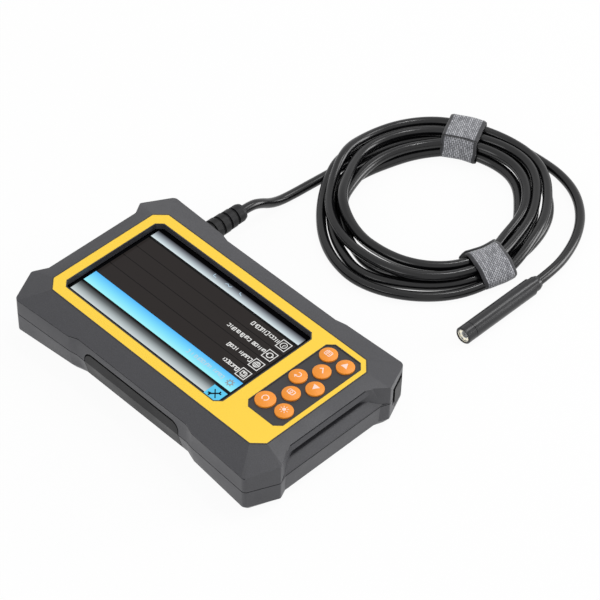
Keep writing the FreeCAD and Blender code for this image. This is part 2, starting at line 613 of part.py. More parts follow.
def lower_shell():
    """The back half of the case, with posts for the case screws, a battery tray and the cable saddle."""
    below_seam = block("below_seam", SPAN_X, SPAN_Y, ("0", "rim_low"))
    outside = common("lower_outside", case_outer, below_seam)
    hollow_box = block("lower_hollow_box", SPAN_X, SPAN_Y, ("floor_wall", "case_height"))
    walls = cut("lower_walls", outside, [common("lower_hollow", case_inner, hollow_box)])
    posts = [rod(f"foot_post_{i}", x, y, ("0", "rim_low"), "post_radius") for i, (x, y) in enumerate(POSTS)]
    reach_x, reach_y = "(battery_length / 2 + fit_gap)", "(battery_width / 2 + fit_gap)"
    middle = "battery_x"
    rib_top = "(battery_floor + battery_thickness / 2)"
    tray = [block(f"tray_{i}", (f"{middle} - {reach_x} - 1.6", f"{middle} + {reach_x} + 1.6"), y,
                  ("floor_wall - 1", rib_top))
            for i, y in enumerate([(f"0 - {reach_y} - 1.6", f"0 - {reach_y}"),
                                   (reach_y, f"{reach_y} + 1.6")])]
    tray += [block(f"tray_{i}", x, (f"0 - {reach_y} - 1.6", f"{reach_y} + 1.6"), ("floor_wall - 1", rib_top))
             for i, x in enumerate([(f"{middle} - {reach_x} - 1.6", f"{middle} - {reach_x}"),
                                    (f"{middle} + {reach_x}", f"{middle} + {reach_x} + 1.6")], start=2)]
    saddle = block("saddle", ("cable_x - clamp_length / 2", "cable_x + clamp_length / 2"),
                   ("clamp_y", "clamp_y + clamp_width"), ("floor_wall - 1", "split_height - 0.1"))
    inside = common("lower_inside", fuse("lower_posts", posts + tray + [saddle]), outside)
    solid = fuse("lower_solid", [walls, inside])
    holes = []
    for i, (x, y) in enumerate(POSTS):
        holes.append(rod(f"foot_hole_{i}", x, y, ("0 - 1", "case_height"), "screw_radius + 0.2"))
        holes.append(rod(f"counterbore_{i}", x, y, ("0 - 1", "counterbore_depth"), "screw_head_radius + 0.3"))
    groove = rod("saddle_groove", "cable_x", "clamp_y - 1", "split_height", "cable_radius", TO_PLUS_Y,
                 "clamp_width + 2")
    clamp_holes = [rod(f"clamp_hole_{i}", f"cable_x + {side} * clamp_screw_reach",
                       "clamp_y + clamp_width / 2", ("split_height - 4", "split_height + 1"),
                       "board_screw_radius")
                   for i, side in enumerate((-1, 1))]
    return cut("lower_shell", solid, holes + clamp_holes + [groove] + OPENINGS)


keep(upper_shell(), "upper_shell")
keep(lower_shell(), "lower_shell")


# ---------------------------------------------------------------- front face

WINDOW = octagon(("window_left", "window_right"), ("0 - window_width / 2", "window_width / 2"), "window_cut")
PANEL = octagon(("panel_left", "panel_right"), ("panel_low", "panel_high"), "panel_cut")
KEY_LAYOUT = {  # column and row steps from the middle of the keypad
    "key_power": (-1, -2), "key_light": (1, -2), "key_photo": (0, -1), "key_back": (-1, 0),
    "key_up": (1, 0), "key_ok": (0, 1), "key_menu": (-1, 2), "key_down": (1, 2),
}


def key_place(name):
    """The centre and radius of a key."""
    column, row = KEY_LAYOUT[name]
    x, y = f"(key_x + {column} * key_column_step)", f"(key_y + {row} * key_row_step)"
    if name == "key_power":
        return x, f"({y} - power_key_shift)", "power_key_radius"
    return x, y, "key_radius"


def front_overlay():
    """The yellow overlay, let into the front face around the window and the keypad."""
    outside = octagon(("0 - overlay_x", "overlay_x"), ("0 - overlay_y", "overlay_y"), "overlay_cut")
    return plate("front_overlay", [outside, WINDOW, PANEL], "case_height - overlay_thickness", "case_height")


def key_plate():
    """The dark plate that guides the keys: a flange behind the case front and a face in its opening."""
    body = new_body("key_plate")
    holes = [(x, y, f"{radius} + key_clearance") for x, y, radius in map(key_place, KEY_LAYOUT)]
    face = octagon(("panel_left + 0.1", "panel_right - 0.1"), ("panel_low + 0.1", "panel_high - 0.1"),
                   "panel_cut")
    flange = octagon(("panel_left - panel_flange", "panel_right + panel_flange"),
                     ("panel_low - panel_flange", "panel_high + panel_flange"), "panel_cut")
    add_pad(body, "key_plate_flange", [flange], "panel_under", "plate_under", holes)
    add_pad(body, "key_plate_face", [face], "plate_under", "case_height - panel_sink", holes)
    return body


def key(name):
    """A key: a domed cap, a flange that holds it behind the plate and a pill that closes its contact."""
    x, y, radius = key_place(name)
    flange, edge = f"{radius} + key_flange", "case_height + key_rise"
    dome = f"({radius} ^ 2 + key_dome ^ 2) / (2 * key_dome)"
    return turned(name, [
        ("0", "pill_under"), ("key_pill_radius", "pill_under"), ("key_pill_radius", "key_flange_under"),
        (flange, "key_flange_under"), (flange, "panel_under - 0.05"), (radius, "panel_under - 0.05"),
        (radius, edge), ("0", f"{edge} + key_dome", dome),
    ], x, y)


def keypad_mat():
    """The silicone mat on the key board, with a collar around each pill."""
    body = new_body("keypad_mat")
    places = [key_place(name)[:2] for name in KEY_LAYOUT]
    holes = [(x, y, "key_pill_radius + 0.4") for x, y in places]
    rims = [(x, y, "key_pill_radius + 0.4 + collar_wall") for x, y in places]
    sheet = [[("panel_left - 0.4", "panel_low"), ("panel_right + 0.4", "panel_low"),
              ("panel_right + 0.4", "panel_high"), ("panel_left - 0.4", "panel_high")]]
    add_pad(body, "keypad_sheet", sheet, "key_board_top", "key_board_top + mat_thickness", holes)
    add_pad(body, "keypad_collars", [], "key_board_top + mat_thickness", "collar_top", holes + rims)
    return body


def key_board():
    """The circuit board under the keypad."""
    outline = [("key_board_left", "key_board_low"), ("key_board_right", "key_board_low"),
               ("key_board_right", "key_board_high"), ("key_board_left", "key_board_high")]
    holes = [(x, y, "board_screw_radius + 0.15") for x, y in KEY_POSTS]
    return plate("key_board", [outline], "key_board_top - board_thickness", "key_board_top", holes)


keep(front_overlay(), "front_overlay")
keep(key_plate(), "key_plate")
for key_name in KEY_LAYOUT:
    keep(key(key_name), key_name)
keep(keypad_mat(), "keypad_mat")
keep(key_board(), "key_board")

# ---------------------------------------------------------------- display

DISPLAY_X = ("display_left", "display_right")
DISPLAY_Y = ("0 - display_high", "display_high")
HOLE_X = ("display_left + gasket_width", "display_right - gasket_width")
HOLE_Y = ("0 - display_high + gasket_width", "display_high - gasket_width")
gasket_hole = [(HOLE_X[0], HOLE_Y[0]), (HOLE_X[1], HOLE_Y[0]), (HOLE_X[1], HOLE_Y[1]), (HOLE_X[0], HOLE_Y[1])]
display_outline = octagon(DISPLAY_X, DISPLAY_Y, "display_clip")
keep(plate("display_gasket", [display_outline, gasket_hole], "display_top", "plate_under"), "display_gasket")
keep(plate("display_glass", [display_outline], "tray_top", "display_top"), "display_glass")
BACKLIGHT_X = ("display_left + fit_gap", "display_right - fit_gap")
BACKLIGHT_Y = ("0 - display_high + fit_gap", "display_high - fit_gap")
backlight_outline = octagon(BACKLIGHT_X, BACKLIGHT_Y, "display_clip")
keep(plate("display_backlight", [backlight_outline], "tray_under", "tray_top"), "display_backlight")
keep(group("display_pads", [
    block(f"display_pad_{i}", (x, f"{x} + pad_width"),
          ("0 - display_high + pad_margin", "display_high - pad_margin"), ("board_top", "tray_under"))
    for i, x in enumerate(("board_left + pad_inset", "board_right - pad_inset - pad_width"))
]), "display_pads")

# ---------------------------------------------------------------- main board and what it carries

board_outline = [
    ("board_left", "0 - board_edge_y"), ("board_right", "0 - board_edge_y"), ("board_right", "board_edge_y"),
    ("notch_x", "board_edge_y"), ("notch_x", "notch_y"), ("board_left", "notch_y"),
]
board_holes = [(x, y, "board_screw_radius + 0.15") for x, y in BOARD_POSTS]
keep(plate("main_board", [board_outline], "board_under", "board_top", board_holes), "main_board")
keep(block("processor_shield", ("battery_x - 16", "battery_x + 12"), ("0 - 11", "11"),
           ("board_under - 1.6", "board_under")), "processor_shield")
keep(group("board_chips", [
    block(f"chip_{i}", (f"battery_x + {x}", f"battery_x + {x} + {width}"), (f"{y}", f"{y} + {depth}"),
          ("board_under - 1.0", "board_under"))
    for i, (x, y, width, depth) in enumerate(
        [(18, -10, 10, 8), (18, 4, 7, 6), (-30, -8, 8, 10), (31, -4, 6, 6)])
]), "board_chips")

MOUTH_Y = "(0 - half_y + side_waist + cover_depth + cover_lip + 1.4)"


def socket(name, x, width, depth, height, opening):
    """A socket under the board's edge: a shell with an open mouth."""
    low = f"board_under - {height}"
    shell = block(f"{name}_shell", (f"{x} - {width} / 2", f"{x} + {width} / 2"),
                  (MOUTH_Y, f"{MOUTH_Y} + {depth}"), (low, "board_under"))
    inside = block(f"{name}_mouth", (f"{x} - {width} / 2 + 0.5", f"{x} + {width} / 2 - 0.5"),
                   (f"{MOUTH_Y} - 1", f"{MOUTH_Y} + {opening}"), (f"{low} + 0.5", "board_under - 0.5"))
    return cut(name, shell, [inside])


keep(socket("usb_socket", "0 - 15", "8.4", "7.2", "3.6", "6"), "usb_socket")
keep(socket("card_socket", "0", "14", "14", "2.2", "12.5"), "card_socket")
keep(block("memory_card", ("0 - 5.5", "5.5"), (f"{MOUTH_Y} + 0.2", f"{MOUTH_Y} + 12.5"),
           ("board_under - 1.7", "board_under - 0.7")), "memory_card")
keep(socket("video_socket", "15", "11", "7.5", "3.2", "6"), "video_socket")

keep(group("board_screws", [
    fuse(f"board_screw_{i}", [
        rod(f"board_shank_{i}", x, y, (low, f"{low} + board_screw_length - 1.4"),
            "board_screw_radius - 0.05"),
        rod(f"board_head_{i}", x, y, (f"{low} - 1.4", low), "board_screw_head_radius"),
    ]) for i, (x, y, low) in enumerate(
        [(x, y, "board_under") for x, y in BOARD_POSTS]
        + [(x, y, "(key_board_top - board_thickness)") for x, y in KEY_POSTS])
]), "board_screws")

# ---------------------------------------------------------------- battery

BATTERY_X = ("battery_x - battery_length / 2", "battery_x + battery_length / 2")
BATTERY_Y = ("0 - battery_width / 2", "battery_width / 2")
keep(block("battery_pad", ("battery_x - battery_length / 2 + 4", "battery_x + battery_length / 2 - 4"),
           ("0 - battery_width / 2 + 4", "battery_width / 2 - 4"), ("floor_wall", "battery_floor")),
     "battery_pad")
keep(plate("battery_pack", [rounded(BATTERY_X, BATTERY_Y, "2.5")], "battery_floor", "battery_top"),
     "battery_pack")

# ---------------------------------------------------------------- case screws and seal

keep(group("case_screws", [
    fuse(f"case_screw_{i}", [
        rod(f"case_shank_{i}", x, y, ("counterbore_depth", "counterbore_depth + screw_length"),
            "screw_radius - 0.05"),
        cut(f"case_head_{i}", rod(f"case_disc_{i}", x, y, ("counterbore_depth - screw_head_height",
                                                           "counterbore_depth"), "screw_head_radius"),
            [block(f"case_slot_{i}_{turn}", (f"{x} - {long}", f"{x} + {long}"),
                   (f"{y} - {wide}", f"{y} + {wide}"),
                   ("counterbore_depth - screw_head_height - 1",
                    "counterbore_depth - screw_head_height + 1.1"))
             for turn, (long, wide) in enumerate(((1.7, 0.35), (0.35, 1.7)))]),
    ]) for i, (x, y) in enumerate(POSTS)
]), "case_screws")
seal_ring = plate("seal_ring", [case_outline("split", "0.7"), case_outline("split", "1.9")],
                  "rim_low", "rim_high")
keep(cut("case_seal", seal_ring, OPENINGS), "case_seal")


# ---------------------------------------------------------------- port covers

def side_cover():
    """The rubber cover over the sockets: a panel that fills its recess and a lip that plugs the opening."""
    panel_block = cover_prism("cover_block", ("0 - cover_half_length", "cover_half_length"),
                              ("cover_bottom", "cover_top"), "cover_round", SIDE_REACH)
    panel = cut("cover_panel", common("cover_skin", case_form("cover_outer"), panel_block), [cover_back])
    x, z = ("0 - seat_edge + cover_gap", "seat_edge - cover_gap"), ("seat_low + cover_gap", "seat_high - 0.2")
    rim = block("cover_rim", x, SIDE_REACH, z)
    pocket = block("cover_pocket", (f"{x[0]} + cover_lip_wall", f"{x[1]} - cover_lip_wall"), SIDE_REACH,
                   (f"{z[0]} + cover_lip_wall", f"{z[1]} - cover_lip_wall"))
    lip = cut("cover_lip_ring", common("cover_lip_band", cover_back, rim), [lip_floor, pocket])
    return fuse("side_port_cover", [panel, lip])


def corner_cover():
    """The rubber cover on the cut corner, over the charging socket."""
    z = ("plug_bottom", "plug_top")
    panel_block = beside_corner("corner_block", ("plug_start", "plug_end"), ("0 - 5", "3"), z)
    panel = cut("corner_panel", common("corner_skin", case_form("corner_outer"), panel_block), [cover_back])
    rim = beside_corner("corner_rim", ("plug_start + plug_land", "plug_end - plug_land - 0.9"),
                        ("0 - 5", "3"), ("plug_bottom + plug_land", "plug_top - plug_land"))
    lip = cut("corner_lip", common("corner_lip_band", cover_back, rim), [lip_floor])
    return fuse("corner_port_cover", [panel, lip])


def charging_socket():
    """The socket behind the corner cover, with a round bore for the charger's plug."""
    along, height = ("plug_start + 0.4", "plug_end + 0.2"), ("floor_wall", "rim_low - fit_gap")
    shell = beside_corner("charging_shell", along, ("0 - 13.5", "0 - 5.0"), height)
    bore = DOCUMENT.addObject("Part::Cylinder", "charging_bore")
    middle, centre_height = f"(({along[0]}) + ({along[1]})) / 2", "(plug_bottom + rim_low) / 2"
    bore.Placement = FreeCAD.Placement(FreeCAD.Vector(), FreeCAD.Rotation(
        FreeCAD.Vector(0, 0, 1), FreeCAD.Vector(number("0 - face_y"), number("0 - face_x"), 0)))
    bind(bore, Radius="1.9", Height="7.5")
    bind(bore, Placement__Base__x=f"corner_x + face_x * {middle} + face_y * (0 - 4.5)",
         Placement__Base__y=f"half_y - face_y * {middle} + face_x * (0 - 4.5)",
         Placement__Base__z=centre_height)
    return cut("charging_socket", shell, [bore])


keep(side_cover(), "side_port_cover")
keep(corner_cover(), "corner_port_cover")
keep(charging_socket(), "charging_socket")

# ---------------------------------------------------------------- strain relief and cable clamp


def strain_relief():
    """The ribbed rubber sleeve: a flange inside the wall, a neck through it and ribs that taper outwards."""
    start, flange = "(0 - wall - relief_grip)", "(flange_y - relief_y)"
    ribs = 5
    taper = "(relief_radius - relief_tip_radius)"
    outside = [("relief_flange_radius", flange), ("relief_flange_radius", start),
               ("relief_neck_radius", start), ("relief_neck_radius", "relief_stand"),
               ("relief_radius", "relief_stand")]
    pitch = f"(relief_length / {ribs})"
    for rib in range(ribs):
        crest = f"(relief_radius - {taper} * {rib} / {ribs})"
        end = f"{pitch} * {rib + 1}"
        outside += [(crest, f"{end} - rib_gap")]
        if rib < ribs - 1:
            valley = f"({crest} - rib_depth)"
            outside += [(valley, f"{end} - rib_gap"), (valley, end)]
            outside += [(f"(relief_radius - {taper} * {rib + 1} / {ribs})", end)]
        else:
            outside += [("relief_tip_radius - 0.3", end)]
    profile = [("cable_radius", flange)] + outside + [("cable_radius", "relief_length")]
    return turned("strain_relief", profile, "cable_x", "relief_y", "split_height", TO_PLUS_Y)


keep(strain_relief(), "strain_relief")
clamp_block = block("clamp_block", ("cable_x - clamp_length / 2", "cable_x + clamp_length / 2"),
                    ("clamp_y", "clamp_y + clamp_width"),
                    ("split_height + 0.1", "split_height + cable_radius + clamp_roof"))
clamp_groove = rod("clamp_groove", "cable_x", "clamp_y - 1", "split_height", "cable_radius", TO_PLUS_Y,
                   "clamp_width + 2")
clamp_places = [(f"cable_x + {side} * clamp_screw_reach", "clamp_y + clamp_width / 2") for side in (-1, 1)]
clamp_bores = [rod(f"clamp_bore_{i}", x, y, ("split_height - 1", "case_height"), "board_screw_radius + 0.15")
               for i, (x, y) in enumerate(clamp_places)]
keep(cut("cable_clamp", clamp_block, [clamp_groove] + clamp_bores), "cable_clamp")
CLAMP_TOP = "(split_height + cable_radius + clamp_roof)"
keep(group("clamp_screws", [
    fuse(f"clamp_screw_{i}", [
        rod(f"clamp_shank_{i}", x, y, (f"{CLAMP_TOP} - 6.5", CLAMP_TOP), "board_screw_radius - 0.05"),
        rod(f"clamp_head_{i}", x, y, (CLAMP_TOP, f"{CLAMP_TOP} + 1.2"), "board_screw_head_radius"),
    ]) for i, (x, y) in enumerate(clamp_places)
]), "clamp_screws")
keep(rod("inner_cable", "cable_x", "inner_cable_y", "split_height", "cable_radius", TO_PLUS_Y,
         "relief_end_y - inner_cable_y"), "inner_cable")
keep(block("camera_connector", ("cable_x - 4.5", "cable_x + 4.5"), ("notch_y", "inner_cable_y"),
           ("board_under - 3", "board_top")), "camera_connector")

# ---------------------------------------------------------------- cable, coil and straps


def smooth_route(points, share=0.45):
    """Straight runs joined by tangent arcs, each as large as its two runs allow; prints the radii."""
    places = [FreeCAD.Vector(*point) for point in points]
    edges, begin, radii = [], places[0], []
    for before, corner, after in zip(places, places[1:], places[2:]):
        back, ahead = (before - corner), (after - corner)
        turn = math.pi - back.getAngle(ahead)
        reach = share * min(back.Length, ahead.Length)
        radii.append(reach / math.tan(turn / 2))
        first, last = corner + back.normalize() * reach, corner + ahead.normalize() * reach
        inwards = (back + ahead).normalize()
        middle = corner + inwards * (radii[-1] / math.cos(turn / 2) - radii[-1])
        edges += [Part.LineSegment(begin, first).toShape(), Part.Arc(first, middle, last).toShape()]
        begin = last
    edges.append(Part.LineSegment(begin, places[-1]).toShape())
    print("radii", [round(radius, 1) for radius in radii])
    return Part.Wire(edges)


def cable(name, points):
    """A round cable along a route, checked against its section times its length."""
    radius = number("cable_radius")
    route = smooth_route(points)
    start = route.Edges[0]
    at = start.FirstParameter
    circle = Part.Wire([Part.makeCircle(radius, start.valueAt(at), start.tangentAt(at))])
    tube = DOCUMENT.addObject("Part::Feature", name)
    tube.Shape = route.makePipeShell([circle], True, False)
    section = math.pi * radius ** 2 * route.Length
    print(name, "length", round(route.Length, 1), "volume", round(tube.Shape.Volume, 1), "section x length",
          round(section, 1))
    return tube


LEAD_END = (number("cable_x"), number("relief_end_y"), number("split_height"))
LEAD_ROUTE = [
    LEAD_END, (LEAD_END[0], 72.2, LEAD_END[2]), (-48.8, 77.8, 9.3), (-48.9, 83.2, 5.6), (-48.9, 89.6, 3.1),
    (-48.5, 97.5, 2.4), (-47.7, 106.8, 2.5), (-46.9, 117.0, 2.4),
]
HEAD_REAR = (number("head_x"), number("head_rear_y"), number("head_radius"))
TAIL_ROUTE = [
    (-11.0, 187.4, 2.4), (0.5, 192.6, 2.5), (13.5, 194.8, 2.4), (28.0, 191.8, 2.5), (42.0, 183.6, 2.4),
    (53.0, 171.6, 2.5), (60.8, 157.8, 2.8), (HEAD_REAR[0], 144.5, HEAD_REAR[2]), HEAD_REAR,
]
keep(cable("cable_lead", LEAD_ROUTE), "cable_lead")
keep(cable("cable_tail", TAIL_ROUTE), "cable_tail")

STRAPS = {"cable_strap_far": 117.5, "cable_strap_near": -14.0}


def coil_sector(name, inner, outer, low, high, middle=None, width=None):
    """A ring, or the part of it that a strap covers, about the coil's upright axis."""
    if middle is None:
        return turned(name, rounded((inner, outer), (low, high), "cable_radius"), "coil_x", "coil_y")
    profile = [(inner, low), (outer, low), (outer, high), (inner, high)]
    span = f"({width} / coil_middle * 57.2958)"
    sector = turned(name, profile, "coil_x", "coil_y", angle=span)
    sector.Placement.Rotation = FreeCAD.Rotation(FreeCAD.Vector(0, 0, 1), 1)
    return bind(sector, Placement__Rotation__Angle=f"{middle} - {span} / 2")


def cable_coil():
    """The coil's outer shape: a flat ring of cable, drawn in where the straps hold it."""
    ring = coil_sector("coil_ring", "coil_inner_radius", "coil_outer_radius", "0", "coil_height")
    gaps, waists = [], []
    for name, middle in STRAPS.items():
        wide = "(strap_width + 2 * strap_gap)"
        gaps.append(coil_sector(f"{name}_gap", "coil_inner_radius - 1", "coil_outer_radius + 1", "0 - 1",
                                "coil_height + 1", middle, wide))
        waists.append(coil_sector(f"{name}_waist", "coil_inner_radius + strap_squeeze",
                                  "coil_outer_radius - strap_squeeze", "strap_thickness + strap_gap",
                                  "coil_height - 0.4", middle, wide))
    return fuse("cable_coil", [cut("coil_parted", ring, gaps)] + waists)


def strap(name, middle):
    """A woven strap closed around the coil's section."""
    inner = "coil_inner_radius + strap_squeeze - strap_gap"
    outer = "coil_outer_radius - strap_squeeze + strap_gap"
    low, high = "strap_thickness", "coil_height - 0.4 + strap_gap"
    outside = coil_sector(f"{name}_outside", f"{inner} - strap_thickness", f"{outer} + strap_thickness",
                          "0", f"{high} + strap_thickness", middle, "strap_width")
    inside = coil_sector(f"{name}_inside", inner, outer, low, high, middle, "(strap_width + 1)")
    return cut(name, outside, [inside])


keep(cable_coil(), "cable_coil")
for strap_name, strap_middle in STRAPS.items():
    keep(strap(strap_name, strap_middle), strap_name)

# ---------------------------------------------------------------- camera head


def head_part(name, profile):
    """A turned piece on the head's axis; heights are places along Y."""
    return turned(name, profile, "head_x", "0", "head_radius", TO_PLUS_Y)


def head_ring(name, inner, outer, low, high):
    """A plain ring, or a disc where the inner radius is 0."""
    return head_part(name, [(inner, low), (outer, low), (outer, high), (inner, high)])


keep(head_ring("camera_housing", "head_bore", "head_radius", "ring_rear_y + 0.2", "collar_y"),
     "camera_housing")
keep(head_part("camera_front_ring", [
    ("head_radius - front_rim", "head_tip_y"), ("head_radius - 0.4", "head_tip_y"),
    ("head_radius", "head_tip_y + 0.4"), ("head_radius", "ring_rear_y"), ("spigot_radius", "ring_rear_y"),
    ("spigot_radius", "ring_rear_y + spigot_length"), ("spigot_bore", "ring_rear_y + spigot_length"),
    ("spigot_bore", "led_seat_y"), ("head_bore", "led_seat_y"),
    ("head_bore", "window_front_y + lens_window_thickness"),
    ("head_radius - front_rim", "window_front_y + lens_window_thickness"),
]), "camera_front_ring")
keep(head_part("camera_rear_collar", [
    ("cable_radius + 0.05", "collar_y - 3"), ("head_bore - 0.03", "collar_y - 3"),
    ("head_bore - 0.03", "collar_y"), ("collar_radius", "collar_y"),
    ("collar_radius", "head_rear_y - 1.6"), ("collar_radius - 0.5", "head_rear_y"),
    ("cable_radius + 0.05", "head_rear_y"),
]), "camera_rear_collar")
keep(head_ring("lens_window", "0", "head_radius - front_rim - 0.03", "window_front_y",
               "window_front_y + lens_window_thickness"), "lens_window")
keep(head_ring("led_board", "led_ring_inner", "head_bore - 0.05", "led_board_y",
               "led_board_y + led_ring_thickness"), "led_board")
led_rods = []
for i in range(8):
    lean = i * math.pi / 4
    led_x = f"head_x + {math.cos(lean):.4f} * (led_ring_inner + head_bore) / 2"
    led_z = f"head_radius + {math.sin(lean):.4f} * (led_ring_inner + head_bore) / 2"
    led_rods.append(rod(f"led_{i}", led_x, "led_board_y - led_height", led_z, "led_side / 2", TO_PLUS_Y,
                        "led_height"))
keep(group("camera_leds", led_rods), "camera_leds")
keep(head_ring("lens_barrel", "0.6", "lens_radius", "led_board_y - 0.2", "led_board_y - 0.2 + lens_length"),
     "lens_barrel")
SENSOR_Y = "led_board_y - 0.2 + lens_length"
keep(block("image_sensor", ("head_x - sensor_side / 2", "head_x + sensor_side / 2"),
           (SENSOR_Y, f"{SENSOR_Y} + sensor_thickness"),
           ("head_radius - sensor_side / 2", "head_radius + sensor_side / 2")), "image_sensor")
keep(rod("head_cable", "head_x", f"{SENSOR_Y} + sensor_thickness", "head_radius", "cable_radius", TO_PLUS_Y,
         f"head_rear_y - ({SENSOR_Y} + sensor_thickness)"), "head_cable")

# ---------------------------------------------------------------- check and write

DOCUMENT.recompute()
for item in DOCUMENT.Objects:
    if "Invalid" in item.State or "Error" in item.State:
        raise RuntimeError(f"{item.Name} did not compute: {item.State}")
for node in NODES:
    if node.Shape.isNull() or not node.Shape.isValid():
        raise RuntimeError(f"{node.Label} has no valid shape")

os.makedirs("parts", exist_ok=True)
for node in NODES:
    node.Shape.exportStep(f"parts/{node.Label}.step")
print(len(NODES), "nodes written")
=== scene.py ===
"""Looks of the inspection camera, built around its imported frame. Metres, in the frame of the part."""

import json
import math
import random

import bmesh
import bpy
from mathutils import Matrix, Vector


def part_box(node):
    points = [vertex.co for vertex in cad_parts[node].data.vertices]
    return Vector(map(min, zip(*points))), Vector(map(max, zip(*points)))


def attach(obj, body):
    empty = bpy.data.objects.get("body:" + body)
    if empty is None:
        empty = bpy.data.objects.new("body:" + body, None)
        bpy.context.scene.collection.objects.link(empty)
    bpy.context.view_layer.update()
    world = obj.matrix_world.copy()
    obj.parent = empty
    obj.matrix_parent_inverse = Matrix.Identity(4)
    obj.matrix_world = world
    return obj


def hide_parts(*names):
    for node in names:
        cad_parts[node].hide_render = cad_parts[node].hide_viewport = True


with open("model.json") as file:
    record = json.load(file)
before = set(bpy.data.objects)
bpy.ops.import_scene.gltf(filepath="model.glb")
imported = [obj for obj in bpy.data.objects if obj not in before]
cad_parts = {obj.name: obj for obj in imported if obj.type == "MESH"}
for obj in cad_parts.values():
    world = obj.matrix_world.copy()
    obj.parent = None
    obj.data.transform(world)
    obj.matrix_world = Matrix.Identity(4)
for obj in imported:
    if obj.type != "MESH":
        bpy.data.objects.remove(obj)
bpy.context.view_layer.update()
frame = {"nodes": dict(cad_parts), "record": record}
NODES = frame["nodes"]
MM = 0.001
SCENE = bpy.context.scene

# ---------------------------------------------------------------- camera

CAMERA_PLACE = Vector((557.9, -515.7, 799.2)) * MM
CAMERA_AZIMUTH = math.radians(44.398)
CAMERA_ELEVATION = math.radians(45.035)
CAMERA_ROLL = math.radians(1.465)
CAMERA_LENS, CAMERA_SENSOR = 158.12, 36.0
NEAREST_SEEN, FARTHEST_SEEN = 0.05, 20


def make_camera():
    """The camera at the photograph's viewing angle."""
    data = bpy.data.cameras.new("camera")
    data.lens, data.sensor_width = CAMERA_LENS, CAMERA_SENSOR
    data.clip_start, data.clip_end = NEAREST_SEEN, FARTHEST_SEEN
    camera = bpy.data.objects.new("camera", data)
    SCENE.collection.objects.link(camera)
    level = math.cos(CAMERA_ELEVATION)
    ahead = Vector((-math.sin(CAMERA_AZIMUTH) * level, math.cos(CAMERA_AZIMUTH) * level,
                    -math.sin(CAMERA_ELEVATION)))
    turn = ahead.to_track_quat("-Z", "Y").to_matrix() @ Matrix.Rotation(CAMERA_ROLL, 3, "Z")
    camera.matrix_world = Matrix.Translation(CAMERA_PLACE) @ turn.to_4x4()
    SCENE.camera = camera


make_camera()

# ---------------------------------------------------------------- the free cable


def middle_of_far_side(node_name):
    """The middle of a node's +Y side."""
    low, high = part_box(node_name)
    return Vector(((low.x + high.x) / 2, high.y, (low.z + high.z) / 2))


CABLE_RADIUS = 2.25 * MM
CABLE_EXIT = middle_of_far_side("strain_relief")
HEAD_REAR = middle_of_far_side("camera_rear_collar")
coil_low, coil_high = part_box("cable_coil")
COIL_CENTRE = (coil_low + coil_high) / 2

LEAD_ROUTE = [  # millimetres, as in the part's source, from the strain relief to the coil
    (-49.0, 72.2, 11.6), (-48.8, 77.8, 9.3), (-48.9, 83.2, 5.6), (-48.9, 89.6, 3.1),
    (-48.5, 97.5, 2.4), (-47.7, 106.8, 2.5), (-46.9, 117.0, 2.4),
]
TAIL_ROUTE = [  # from the coil to the camera head
    (-10.6, 189.4, 2.4), (0.5, 193.4, 2.5), (12.0, 194.2, 2.4), (24.8, 193.8, 2.5), (37.4, 189.8, 2.4),
    (48.6, 181.0, 2.5), (56.6, 169.4, 2.6), (61.6, 156.6, 2.9), (64.5, 144.5, 4.0),
]

# The cable runs clockwise. Each turn passes the far strap and then the near strap: the first three turns lie
# on the floor from the outside in, the next two on top of them from the inside out, the sixth comes down
# outside the rest, and the last leaves for the camera head once it has passed the far strap.
FAR_STRAP, NEAR_STRAP = 117.5, -14.0
COIL_START, COIL_END = 200.7, 104.4
COIL_END_RADIUS = 54.9
LOW, HIGH, POINTS_PER_TURN = 2.4, 6.9, 36
PLACES = (170, 138, FAR_STRAP, 80, 48, 14, NEAR_STRAP, -60, -84, -102, -130, -155)
# A turn's radius at each of those places, read from the photograph and adjusted, and its height there.
TURNS = [
    ((45.5, 47.4, 49.6, 52.5, 50.9, 46.2, 45.9, 48.6, 52.2, 49.4, 46.0, 45.9), (LOW,) * 12),
    ((41.0, 42.6, 44.6, 48.0, 44.2, 41.7, 41.4, 44.1, 46.3, 43.4, 41.6, 41.5), (LOW,) * 12),
    ((36.5, 37.8, 39.7, 41.6, 37.1, 37.2, 36.9, 36.6, 36.4, 37.7, 41.1, 37.8),
     (LOW, LOW, LOW, LOW, LOW, LOW, LOW, LOW, LOW, 2.9, HIGH, HIGH)),
    ((37.3, 38.6, 40.8, 44.2, 40.2, 35.4, 39.0, 39.9, 39.4, 40.0, 41.3, 40.7),
     (HIGH, HIGH, HIGH, HIGH, HIGH, 5.9, 6.3, HIGH, HIGH, 7.4, 11.3, 10.5)),
    ((46.5, 47.9, 46.9, 50.6, 44.4, 40.8, 43.6, 46.8, 46.4, 46.6, 46.8, 47.1),
     (HIGH, HIGH, HIGH, HIGH, HIGH, HIGH, 6.3, HIGH, HIGH, HIGH, HIGH, HIGH)),
    ((52.0, 54.3, 53.0, 55.5, 49.6, 47.4, 50.4, 55.4, 57.0, 54.7, 50.5, 50.3),
     (HIGH, HIGH, HIGH, 5.8, HIGH, 7.2, 2.9, LOW, LOW, LOW, LOW, LOW)),
    ((51.8, 54.8, 54.6), (LOW,) * 3),
]
ENTRY = [(COIL_START, 52.6), (190, 48.9), (180, 46.4)]  # how the lead's end runs in under the last turn
# How far the strands rise where they lie on a strap, and over how many degrees.
STRAP_LIFT, STRAP_LIFT_WIDTH = 1.15, 16.0
# Turn, place, rise and width of each hump where a turn crosses the lead.
HUMPS = [(6, 193.0, 4.4, 13.0), (5, 190.0, 3.4, 14.0)]


